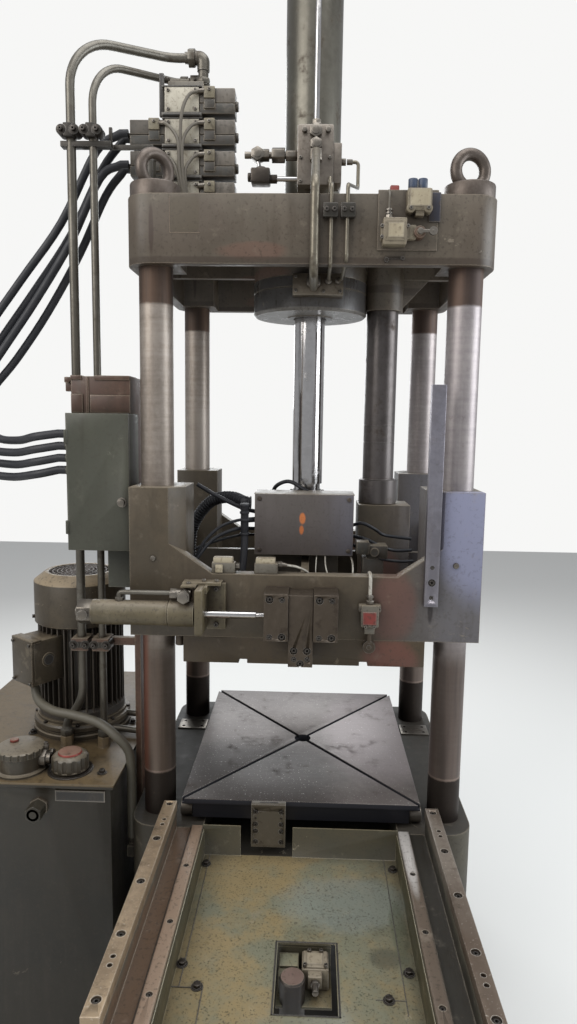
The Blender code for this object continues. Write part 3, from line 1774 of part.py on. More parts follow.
def make_rotor():
    fan_low = motor_high + fan_lift
    plate_top = fan_low + fan_plate
    solids = [
        bar((motor_x, motor_y, fan_low), (motor_x, motor_y, plate_top), fan_dia, big_sides),
        bar((motor_x, motor_y, fan_low), (motor_x, motor_y, plate_top + fan_blade_height), fan_hub_dia, small_sides),
        bar((motor_x, motor_y, motor_high - shaft_sunk), (motor_x, motor_y, fan_low + fan_plate), shaft_dia, small_sides),
    ]
    for index in range(fan_blade_count):
        solids.append(
            turned_box(
                (fan_hub_dia / 2 - overrun, -fan_blade_thick / 2, fan_low + fan_plate / 2),
                (fan_dia / 2, fan_blade_thick / 2, plate_top + fan_blade_height),
                (motor_x, motor_y, 0),
                360 * index / fan_blade_count,
            )
        )
    piece("motor_rotor", "rotor", "dark", solids)


def make_filler_cap():
    low = tank_top + seat_gap
    outline = []
    steps = filler_lobes * 3
    for step in range(steps):
        angle = math.tau * step / steps
        radius = filler_dia / 2 - filler_lobe_depth * (1 - math.cos(angle * filler_lobes)) / 2
        outline.append((radius * math.cos(angle), radius * math.sin(angle)))
    knob = slab(outline, "Z", low + filler_height / 3, low + filler_height)
    knob.data.transform(Matrix.Translation((filler_x, filler_y, 0)))
    skirt = bar((filler_x, filler_y, low), (filler_x, filler_y, low + filler_height / 2), filler_dia - filler_lobe_depth * 3)
    dome = bar((filler_x, filler_y, low + filler_height - overrun), (filler_x, filler_y, low + filler_height + filler_top_height), filler_top_dia, round_sides, filler_top_dia - filler_top_height)
    bore = bar((filler_x, filler_y, low - overrun), (filler_x, filler_y, tank_top + filler_neck_height + run_gap), filler_neck_dia + run_gap * 2)
    piece("filler_cap", "filler", "red", [knob, skirt, dome], [bore])


def make_return_filter():
    low = tank_top + seat_gap
    top = low + filter_height
    housing = turned(
        [
            (0, top),
            (filter_dia / 2 - filter_flange_height, top),
            (filter_dia / 2, top - filter_flange_height),
            (filter_dia / 2, low + filter_flange_height),
            (filter_flange_dia / 2, low + filter_flange_height),
            (filter_flange_dia / 2, low),
            (0, low),
        ],
        (filter_x, filter_y, 0),
    )
    port_z = low + filter_height / 2
    port = bar(
        (filter_x + filter_dia / 3, filter_y, port_z),
        (filter_x + filter_dia / 2 + filter_port_length / 3, filter_y, port_z),
        filter_port_dia,
        6,
    )
    piece("return_filter", "frame", "grey", [housing, port])


# Switches on the crosshead


def make_head_switches():
    face = -head_half_depth - seat_gap
    plate_front = face - head_switch_plate
    plate = box(
        (head_switch_left, plate_front, head_bottom + head_switch_low),
        (head_switch_right, face, head_bottom + head_switch_high + switch_body_height),
    )
    solids = [plate]
    for x, low in ((switch_a_x, head_bottom + switch_a_low), (switch_b_x, head_bottom + switch_b_low)):
        solids.append(
            box(
                (x - switch_body_width / 2, plate_front - switch_body_depth, low),
                (x + switch_body_width / 2, plate_front + head_switch_plate / 2, low + switch_body_height),
            )
        )
    pivot_z = head_bottom + pivot_height
    y = plate_front + head_switch_plate / 2
    solids.append(bar((pivot_x, y, pivot_z), (pivot_x, y - pivot_length, pivot_z), pivot_dia, small_sides))
    hole = bar(
        (pivot_x, y - pivot_length / 2, pivot_z),
        (pivot_x, y - pivot_length - overrun, pivot_z),
        lever_pin_dia + run_gap * 2,
        tiny_sides,
    )
    piece("head_switches", "frame", "cream", solids, [hole])

    arm_back = y - pivot_length - run_gap
    arm_front = arm_back - lever_thick
    arm = box(
        (pivot_x - lever_width / 2, arm_front, pivot_z - lever_width / 2),
        (pivot_x + lever_reach, arm_back, pivot_z + lever_width / 2),
    )
    pin = bar((pivot_x, y - pivot_length / 2 - run_gap, pivot_z), (pivot_x, arm_back - lever_thick / 2, pivot_z), lever_pin_dia, tiny_sides)
    wheel = bar(
        (pivot_x + lever_reach, arm_front + lever_thick / 2, pivot_z),
        (pivot_x + lever_reach, arm_front - lever_roller_width, pivot_z),
        lever_roller_dia,
        small_sides,
    )
    piece("switch_lever", "lever", "steel", [arm, pin, wheel])


# Hoses


outer_hose = [
    (-0.560, 2.290),
    (-0.655, 2.112),
    (-0.765, 1.962),
    (-0.875, 1.805),
    (-0.955, 1.650),
    (-0.950, 1.530),
    (-0.875, 1.468),
    (-0.765, 1.452),
    (-0.680, 1.462),
]
inner_hose = [
    (-0.548, 2.190),
    (-0.620, 2.040),
    (-0.708, 1.885),
    (-0.790, 1.760),
    (-0.858, 1.665),
    (-0.862, 1.592),
    (-0.812, 1.550),
    (-0.740, 1.545),
    (-0.678, 1.556),
]


def hose_routes():
    """Four cable hoses, one loop inside the next, from the valves' left coils into the cabinet."""
    coil_end = -stack_left - coil_length - seat_gap
    middle_y = -stack_front - valve_body_depth / 2
    rows = [z for _, z, both in valve_rows() if both]
    gland_x = -cabinet_left - gland_length - seat_gap
    gland_y = cabinet_back - gland_back
    starts = [(-1, rows[1]), (1, rows[1]), (-1, rows[0]), (1, rows[0])]
    for index, (side, z) in enumerate(starts):
        y = middle_y + side * coil_width / 3
        gland_z = gland_height(3 - index)
        route = [(coil_end, y, z), (coil_end - hose_dia, y, z)]
        for step, (outer, inner) in enumerate(zip(outer_hose, inner_hose)):
            down = step / (len(outer_hose) - 1)
            inward = index / 3
            route.append(
                (
                    outer[0] + (inner[0] - outer[0]) * inward,
                    y + (gland_y - y) * down**2,
                    outer[1] + (inner[1] - outer[1]) * inward,
                )
            )
        route.append((gland_x - hose_dia, gland_y, gland_z))
        route.append((gland_x, gland_y, gland_z))
        yield route


def make_hoses():
    for index, route in enumerate(hose_routes()):
        piece(f"hose_{index + 1}", "frame", "rubber", [tube(cord_points(route, 2), hose_dia)])


def terminal_exit():
    turn = math.radians(-terminal_turn)
    reach = motor_fin_dia / 2 + terminal_depth / 2
    x = motor_x + math.sin(turn) * reach
    y = motor_y - math.cos(turn) * reach
    return x, y, motor_low + terminal_low - seat_gap


def conduit_route():
    x, y, z = terminal_exit()
    end_x = -(frame_half_width + tank_gap / 2)
    end_z = conduit_ledge_z + gland_length + seat_gap
    return [
        (x, y, z),
        (x, y, z - 0.014),
        (x + 0.022, y - 0.030, z - 0.046),
        (x + 0.075, y - 0.066, z - 0.058),
        (x + 0.135, y - 0.082, z - 0.062),
        (x + 0.205, y - 0.098, z - 0.074),
        (end_x - 0.040, conduit_y, z - 0.098),
        (end_x - 0.006, conduit_y, z - 0.140),
        (end_x, conduit_y, z - 0.210),
        (end_x, conduit_y, end_z + 0.060),
        (end_x, conduit_y, end_z + 0.020),
        (end_x, conduit_y, end_z),
    ]


def make_conduit():
    piece("motor_conduit", "frame", "rubber", [tube(cord_points(conduit_route(), 3), conduit_dia)])


def make_bodies():
    body("frame")
    body("slide")
    body("carrier", parent="slide")
    body("lock", (lock_flange_x, lock_y, lock_z), parent="slide")
    body("plunger", (small_switch_x, -slide_half_depth - small_switch_depth / 2, slide_bottom + small_switch_low), parent="slide")
    body("table")
    for name, y in roller_rows():
        body(name, (0, y, roller_z), parent="table")
    body("door", (-cabinet_left, cabinet_front - seat_gap - door_thick, cabinet_low))
    body("rotor", (motor_x, motor_y, motor_high))
    body("filler", (filler_x, filler_y, tank_top))
    body("lever", (pivot_x, -head_half_depth - head_switch_plate, head_bottom + pivot_height))


def build():
    clear_scene()
    make_bodies()
    make_bed()
    make_rail_beams()
    make_guide_strips()
    make_front_tray()
    make_tray_stop()
    make_columns()
    make_crosshead()
    make_main_cylinder()
    make_piston_rod()
    make_slide()
    make_tail_tube()
    make_junction_box()
    make_carrier()
    make_guide_blocks()
    make_lock_cylinder()
    make_lock_rod()
    make_cam_bar()
    make_slide_switch()
    make_slide_hose()
    make_table()
    make_wheelsets()
    make_table_cylinder()
    make_valve_block()
    make_feed_pipe()
    make_pilot_pipes()
    make_valve_stack()
    make_oil_pipes()
    make_pipe_rail()
    make_pipe_bracket()
    make_cabinet()
    make_tank()
    make_pump_flange()
    make_motor()
    make_fan_cover()
    make_rotor()
    make_filler_cap()
    make_return_filter()
    make_head_switches()
    make_hoses()
    make_conduit()


build()
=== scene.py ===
import math
import random

import bpy
from mathutils import Matrix, Vector


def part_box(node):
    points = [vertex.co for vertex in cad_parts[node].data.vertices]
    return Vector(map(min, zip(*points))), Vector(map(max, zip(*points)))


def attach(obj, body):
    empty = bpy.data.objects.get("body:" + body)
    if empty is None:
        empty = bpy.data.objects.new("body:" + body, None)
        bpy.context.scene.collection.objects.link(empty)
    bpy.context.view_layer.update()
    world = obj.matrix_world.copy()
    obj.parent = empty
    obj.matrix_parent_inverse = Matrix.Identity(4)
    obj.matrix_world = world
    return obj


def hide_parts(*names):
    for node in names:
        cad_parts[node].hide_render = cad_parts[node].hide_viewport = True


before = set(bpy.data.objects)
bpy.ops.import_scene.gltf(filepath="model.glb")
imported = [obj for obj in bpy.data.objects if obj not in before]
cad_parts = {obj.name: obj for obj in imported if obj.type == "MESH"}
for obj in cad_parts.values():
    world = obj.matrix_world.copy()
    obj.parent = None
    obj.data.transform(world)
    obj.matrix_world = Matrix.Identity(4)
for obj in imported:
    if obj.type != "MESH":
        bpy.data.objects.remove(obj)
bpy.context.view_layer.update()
random.seed(7)
print("frame loaded")

# Camera and lamps

cameraSetup = {
    "place": (0.0122, -2.0241, 1.6), "turnLeft": 0.0317, "pitchDown": 0.126, "roll": 0.0144, "focalPixels": 705.94,
    "framePixels": 1024,
}


def addCamera():
    turn, pitch, roll = (cameraSetup[key] for key in ("turnLeft", "pitchDown", "roll"))
    ahead = Vector((-math.sin(turn) * math.cos(pitch), math.cos(turn) * math.cos(pitch), -math.sin(pitch)))
    side = Vector((math.cos(turn), math.sin(turn), 0))
    top = side.cross(ahead)
    right = side * math.cos(roll) + top * math.sin(roll)
    up = top * math.cos(roll) - side * math.sin(roll)
    lens = bpy.data.cameras.new("camera")
    lens.sensor_fit = "VERTICAL"
    lens.sensor_height = 36
    lens.lens = cameraSetup["focalPixels"] / cameraSetup["framePixels"] * 36
    lens.clip_end = 60
    holder = bpy.data.objects.new("camera", lens)
    bpy.context.scene.collection.objects.link(holder)
    turned = Matrix((right, up, -ahead)).transposed().to_4x4()
    holder.matrix_world = Matrix.Translation(cameraSetup["place"]) @ turned
    bpy.context.scene.camera = holder


lamps = {
    "window": {"place": (-2.6, -2.4, 3.4), "size": 2.4, "power": 78, "colour": (1.0, 0.97, 0.93)},
    "door": {"place": (3.0, -0.6, 2.2), "size": 2.0, "power": 60, "colour": (0.92, 0.96, 1.0)},
    "roof": {"place": (0.3, -0.8, 4.6), "size": 3.0, "power": 88, "colour": (1.0, 1.0, 1.0)},
    "back": {"place": (-0.6, 3.2, 2.8), "size": 2.4, "power": 60, "colour": (0.95, 0.98, 1.0)},
}


def addLamps():
    for name, lamp in lamps.items():
        light = bpy.data.lights.new(name, "AREA")
        light.energy, light.size, light.color = lamp["power"], lamp["size"], lamp["colour"]
        holder = bpy.data.objects.new(name, light)
        bpy.context.scene.collection.objects.link(holder)
        holder.location = lamp["place"]
        aim = Vector((0, 0, 1.2)) - holder.location
        holder.rotation_euler = aim.to_track_quat("-Z", "Y").to_euler()
    world = bpy.data.worlds.new("studio")
    bpy.context.scene.world = world
    world.use_nodes = True
    nodes, links = world.node_tree.nodes, world.node_tree.links
    sky = nodes["Background"]
    sky.inputs["Color"].default_value = (0.9, 0.92, 0.95, 1)
    sky.inputs["Strength"].default_value = 0.5
    clear = nodes.new("ShaderNodeBackground")
    clear.inputs["Color"].default_value = (0.93, 0.93, 0.92, 1)
    path = nodes.new("ShaderNodeLightPath")
    pick = nodes.new("ShaderNodeMixShader")
    links.new(path.outputs["Is Camera Ray"], pick.inputs[0])
    links.new(sky.outputs[0], pick.inputs[1])
    links.new(clear.outputs[0], pick.inputs[2])
    links.new(pick.outputs[0], nodes["World Output"].inputs["Surface"])
    bpy.context.scene.view_settings.view_transform = "Standard"


addCamera()
addLamps()
print("camera and lamps set")

# Materials


class Signal:  # a value in a material that can be written in sums
    def __init__(self, look, socket):
        self.look, self.socket = look, socket

    def sum(self, kind, first, second, clamp=False):
        return self.look.add("Math", {"operation": kind, "use_clamp": clamp}, {0: first, 1: second})

    def __add__(self, other):
        return self.sum("ADD", self, other)

    def __radd__(self, other):
        return self.sum("ADD", other, self)

    def __sub__(self, other):
        return self.sum("SUBTRACT", self, other)

    def __rsub__(self, other):
        return self.sum("SUBTRACT", other, self)

    def __mul__(self, other):
        return self.sum("MULTIPLY", self, other)

    def __rmul__(self, other):
        return self.sum("MULTIPLY", other, self)

    def __truediv__(self, other):
        return self.sum("DIVIDE", self, other)

    def __pow__(self, other):
        return self.sum("POWER", self, other)

    def over(self, other):  # the larger of two masks
        return self.sum("MAXIMUM", self, other)

    def held(self):
        return self.sum("ADD", self, 0.0, True)


class Look:
    def __init__(self, name):
        self.material = bpy.data.materials.new(name)
        self.material.use_nodes = True
        self.tree = self.material.node_tree
        self.shader = self.tree.nodes["Principled BSDF"]
        self.place = self.add("TexCoord", out="Object")
        self.axes = None

    def add(self, kind, settings=None, values=None, out=0):
        node = self.tree.nodes.new("ShaderNode" + kind)
        for key, value in (settings or {}).items():
            if key == "stops":
                ramp = node.color_ramp
                for stop, (spot, colour) in zip((ramp.elements[0], ramp.elements[1]), value):
                    stop.position, stop.color = spot, colour
                for spot, colour in value[2:]:
                    ramp.elements.new(spot).color = colour
            else:
                setattr(node, key, value)
        for key, value in (values or {}).items():
            if isinstance(value, Signal):
                self.tree.links.new(value.socket, node.inputs[key])
            else:
                node.inputs[key].default_value = value
        return Signal(self, node.outputs[out])

    def xyz(self):
        if self.axes is None:
            x = self.add("SeparateXYZ", None, {0: self.place}, 0)
            node = x.socket.node
            self.axes = [Signal(self, node.outputs[index]) for index in range(3)]
        return self.axes

    def noise(self, scale, detail=4.0, rough=0.55, stretch=None, shift=(0, 0, 0), warp=0.0):
        place = self.place
        if stretch or any(shift):
            place = self.add("Mapping", None, {"Vector": place, "Scale": stretch or (1, 1, 1), "Location": shift})
        values = {"Vector": place, "Scale": scale, "Detail": detail, "Roughness": rough, "Distortion": warp}
        return self.add("TexNoise", None, values)

    def fade(self, value, low, high):
        return self.add(
            "MapRange", {"interpolation_type": "SMOOTHSTEP"}, {0: value, 1: low, 2: high, 3: 0.0, 4: 1.0},
        )

    def mix(self, share, first, second):
        return self.add("Mix", {"data_type": "RGBA"}, {0: share, 6: self.colour(first), 7: self.colour(second)}, 2)

    def colour(self, value):
        return value if isinstance(value, Signal) else (*value, 1)

    def edges(self, width):
        soft = self.add("Bevel", {"samples": 4}, {"Radius": width})
        plain = self.add("NewGeometry", out="Normal")
        same = self.add("VectorMath", {"operation": "DOT_PRODUCT"}, {0: soft, 1: plain}, "Value")
        return self.fade(1 - same, 0.03, 0.25)

    # ambient occlusion mask: one in corners and hollows, where shade falls
    def corners(self, reach):
        shade = self.add("AmbientOcclusion", {"samples": 4}, {"Distance": reach}, "AO")
        return self.fade(1 - shade, 0.15, 0.75)

    def upward(self):  # one where a face looks up
        normal = self.add("NewGeometry", out="Normal")
        rise = self.add("SeparateXYZ", None, {0: normal}, 2)
        return self.fade(rise, 0.55, 0.85)

    def patch(self, centre, size, ragged, power):
        total = None
        for axis, middle, reach in zip(self.xyz(), centre, size):
            if reach:
                part = ((axis - middle) / reach) ** power
                total = part if total is None else total + part
        total = total + (self.noise(9, 5, 0.65) - 0.5) * (ragged * 3)
        return self.fade(total, 1.15, 0.35)

    def stainedAndLit(self, colour, stainsAndLight):
        for spot in stainsAndLight:
            mask = self.patch(spot["at"], spot["size"], spot["ragged"], spot["power"])
            colour = self.mix(mask * spot["strength"], colour, spot["colour"])
        return colour

    def finish(self, colour, roughness, metallic=0.0, height=None, depth=0.001):
        ends = {"Base Color": colour, "Roughness": roughness, "Metallic": metallic}
        for key, value in ends.items():
            if isinstance(value, Signal):
                self.tree.links.new(value.socket, self.shader.inputs[key])
            else:
                self.shader.inputs[key].default_value = self.colour(value) if key == "Base Color" else value
        if height is not None:
            bump = self.add("Bump", None, {"Strength": 0.6, "Distance": depth, "Height": height})
            self.tree.links.new(bump.socket, self.shader.inputs["Normal"])
        return self.material


def wornPaint(name, setup):
    look = Look(name)
    wide, fine = look.noise(2.3, 3), look.noise(38, 6, 0.7)
    mottle = look.noise(11, 8, 0.72)
    colour = look.mix(look.fade(wide + (mottle - 0.5) * 0.7, 0.36, 0.64), setup["colour"], setup["second"])
    for spot in setup.get("zones", ()):
        edge = look.xyz()[spot["axis"]] + (mottle - 0.5) * spot["ragged"]
        mask = look.fade(edge, spot["from"], spot["to"])
        colour = look.mix(mask * spot["strength"], colour, spot["colour"])
    # painted light: up-facing faces take the tops colour, lighter as if lit from above
    if "tops" in setup:
        colour = look.mix(
            look.upward() * setup.get("topLightShare", 0.7), colour,
            look.mix(look.fade(wide + mottle, 0.85, 1.15), setup["tops"], setup.get("topsSecond", setup["tops"])),
        )
    streak = look.fade(look.noise(5, 6, 0.65, stretch=setup.get("streak", (6, 6, 0.7))), 0.48, 0.72)
    colour = look.mix(streak * setup.get("streaks", 0.42), colour, setup["dirtAndShade"])
    colour = look.stainedAndLit(colour, setup.get("stainsAndLight", ()))
    pale = look.fade(look.noise(19, 7, 0.7, shift=(3, 1, 2)), 0.56, 0.72)
    colour = look.mix(pale * setup.get("pale", 0.22), colour, setup["bare"])
    speck = look.fade(look.noise(setup.get("speckle", 120), 4, 0.65), 0.55, 0.64)
    colour = look.mix(speck * setup.get("specks", 0.5), colour, setup["dirtAndShade"])
    # grime and painted shade in corners and hollows, from ambient occlusion, mixed to the dirt colour
    grimeAndShade = look.corners(setup.get("reach", 0.05))
    grimeAndShade = (grimeAndShade * (0.45 + look.noise(14, 4, 0.6))).held()
    colour = look.mix(grimeAndShade * setup.get("grimeAndShade", 0.8), colour, setup["dirtAndShade"])
    wear = look.edges(setup.get("edge", 0.005))
    chips = look.fade(wear * 0.6 + look.noise(26, 7, 0.72) * 0.6, 0.5, 0.6) * setup.get("chips", 0.85)
    scuffs = look.fade(look.noise(7, 9, 0.78, warp=0.6), 0.64, 0.665) * setup.get("scuffs", 0.6)
    bare = chips.over(scuffs)
    colour = look.mix(bare, colour, setup["bare"])
    rough = 0.46 + (fine - 0.5) * 0.24 + grimeAndShade * 0.18 - streak * 0.1 + setup.get("rough", 0.0)
    height = look.noise(420, 2) * 0.1 + fine * 0.3 - bare * 0.55
    return look.finish(colour, rough, bare * 0.45, height, 0.0008)


def wornSteel(name, setup):
    look = Look(name)
    fine = look.noise(60, 6, 0.7)
    wide = look.noise(3.1, 4, 0.6)
    colour = look.mix(look.fade(wide + (fine - 0.5) * 0.5, 0.36, 0.64), setup["colour"], setup["second"])
    colour = look.stainedAndLit(colour, setup.get("stainsAndLight", ()))
    if "specks" in setup:
        colour = look.mix(
            look.fade(look.noise(210, 3, 0.6, shift=(1, 2, 3)), 0.64, 0.7) * setup["specks"], colour,
            setup["shine"],
        )
    tarnish = look.fade(look.noise(setup.get("spots", 17), 7, 0.72), 0.54, 0.68)
    colour = look.mix(tarnish * setup.get("tarnish", 0.6), colour, setup["dirtAndShade"])
    # grime and painted shade in corners and hollows, from ambient occlusion, mixed to the dirt colour
    grimeAndShade = (look.corners(0.03) * (0.4 + look.noise(20, 4))).held()
    colour = look.mix(grimeAndShade * setup.get("grimeAndShade", 0.8), colour, setup["dirtAndShade"])
    bright = look.edges(setup.get("edge", 0.0025)) * setup.get("bright", 0.5)
    colour = look.mix(bright * (0.3 + fine), colour, setup["shine"])
    if "under" in setup:
        high, low, dark = setup["under"]
        colour = look.mix(look.fade(look.xyz()[2], high, low), colour, dark)
    lines = look.noise(150, 3, 0.6, stretch=setup.get("grain", (1, 0.04, 1)))
    rough = setup.get("rough", 0.34) + tarnish * 0.25 + grimeAndShade * 0.2 + (lines - 0.5) * 0.18
    return look.finish(colour, rough, setup.get("metal", 0.85), fine * 0.4 + lines * 0.6, 0.00035)


def rubberLook(name, colour, dust):
    look = Look(name)
    fine = look.noise(70, 5, 0.65)
    haze = look.fade(look.noise(8, 4), 0.4, 0.7)
    return look.finish(look.mix(haze * 0.5, colour, dust), 0.42 + fine * 0.22, 0.0, fine, 0.0003)


def stainAndLightSpot(at, size, colour, strength, ragged=0.5, power=2.0):  # a spot round a point
    return {"at": at, "size": size, "colour": colour, "strength": strength, "ragged": ragged, "power": power}


def zone(axis, start, end, colour, strength, ragged=0.0):  # colour that changes along an axis, used for paint and for painted light and shade
    return {"axis": axis, "from": start, "to": end, "colour": colour, "strength": strength, "ragged": ragged}


greens = {
    "colour": (0.088, 0.098, 0.07), "second": (0.11, 0.112, 0.078), "dirtAndShade": (0.03, 0.022, 0.014),
    "bare": (0.17, 0.14, 0.105),
}
olives = {
    "colour": (0.112, 0.09, 0.066), "second": (0.084, 0.068, 0.048), "dirtAndShade": (0.038, 0.026, 0.016),
    "bare": (0.29, 0.245, 0.185), "tops": (0.23, 0.195, 0.145),
}
steels = {
    "colour": (0.23, 0.208, 0.18), "second": (0.16, 0.142, 0.12), "dirtAndShade": (0.05, 0.034, 0.022),
    "shine": (0.56, 0.54, 0.51),
}
greenPaints = {
    "bedPaint": {
        "colour": (0.072, 0.064, 0.046), "second": (0.052, 0.048, 0.038), "bare": (0.24, 0.205, 0.155),
        # its up-facing faces are painted darker, as painted shade
        "streaks": 0.5, "scuffs": 0.8, "edge": 0.007, "tops": (0.026, 0.023, 0.018), "topLightShare": 0.9, "rough": 0.16,
        # the left end is painted darker, as painted shade against the left lamp
        "zones": (zone(0, -0.29, -0.36, (0.02, 0.016, 0.009), 0.92),),
    },
    "tankPaint": {
        "colour": (0.019, 0.0155, 0.0095), "second": (0.013, 0.0115, 0.0075), "bare": (0.22, 0.19, 0.14),
        "grimeAndShade": 0.95, "rough": -0.04, "pale": 0.05, "scuffs": 0.35,
        "zones": (
            zone(2, 0.4, 0.62, (0.026, 0.022, 0.014), 0.6), zone(2, 0.714, 0.717, (0.145, 0.102, 0.052), 0.85),
        ),
    },
    "cabinetPaint": {
        "colour": (0.063, 0.064, 0.046), "second": (0.055, 0.056, 0.041), "bare": (0.26, 0.25, 0.2), "scuffs": 0.25,
        "chips": 0.7, "streaks": 0.25, "pale": 0.08, "specks": 0.2,
    },
    "trayPaint": {
        "colour": (0.06, 0.05, 0.027), "second": (0.045, 0.042, 0.025), "tops": (0.235, 0.182, 0.095),
        "topsSecond": (0.165, 0.165, 0.115), "topLightShare": 1.0, "dirtAndShade": (0.04, 0.034, 0.022),
        "bare": (0.33, 0.29, 0.2), "streaks": 0.35, "streak": (1, 1, 1), "rough": -0.14, "reach": 0.07,
        "grimeAndShade": 0.9, "speckle": 230, "specks": 0.75, "edge": 0.004,
        "stainsAndLight": (
            stainAndLightSpot((0.1, -0.56, 0.533), (0.16, 0.1, 0.02), (0.19, 0.215, 0.195), 0.6),
            stainAndLightSpot((0.185, -0.72, 0.533), (0.045, 0.035, 0.02), (0.06, 0.06, 0.046), 0.6),
            stainAndLightSpot((0.215, -0.66, 0.533), (0.02, 0.12, 0.02), (0.08, 0.092, 0.062), 0.6),
        ),
    },
    "motorPaint": {
        "colour": (0.074, 0.056, 0.034), "second": (0.052, 0.041, 0.026), "tops": (0.21, 0.168, 0.112),
        "bare": (0.3, 0.25, 0.18), "streaks": 0.6, "zones": (zone(2, 1.149, 1.152, (0.34, 0.262, 0.165), 0.95),),
    },
    "finPaint": {
        "colour": (0.058, 0.05, 0.042), "second": (0.04, 0.035, 0.03), "grimeAndShade": 0.95, "scuffs": 0.3, "reach": 0.03,
    },
    "railPaint": {
        "colour": (0.078, 0.072, 0.052), "second": (0.058, 0.054, 0.042), "bare": (0.42, 0.37, 0.3),
        "stainsAndLight": (
            stainAndLightSpot((-0.285, 0, 0.602), (0.03, 0, 0.05), (0.118, 0.07, 0.042), 0.9),
            stainAndLightSpot((0.285, 0, 0.602), (0.03, 0, 0.05), (0.018, 0.017, 0.014), 0.9),
            stainAndLightSpot((-0.252, 0, 0.609), (0.016, 0, 0.02), (0.24, 0.168, 0.118), 0.9, ragged=0.2),
            stainAndLightSpot((0.252, 0, 0.609), (0.016, 0, 0.02), (0.115, 0.085, 0.062), 0.9, ragged=0.2),
            stainAndLightSpot((0.252, -0.44, 0.609), (0.016, 0.2, 0.02), (0.48, 0.46, 0.44), 0.9, ragged=0.25),
            stainAndLightSpot((-0.2685, 0, 0.602), (0.003, 0, 0.03), (0.02, 0.014, 0.01), 0.9, ragged=0.1),
        ),
    },
}
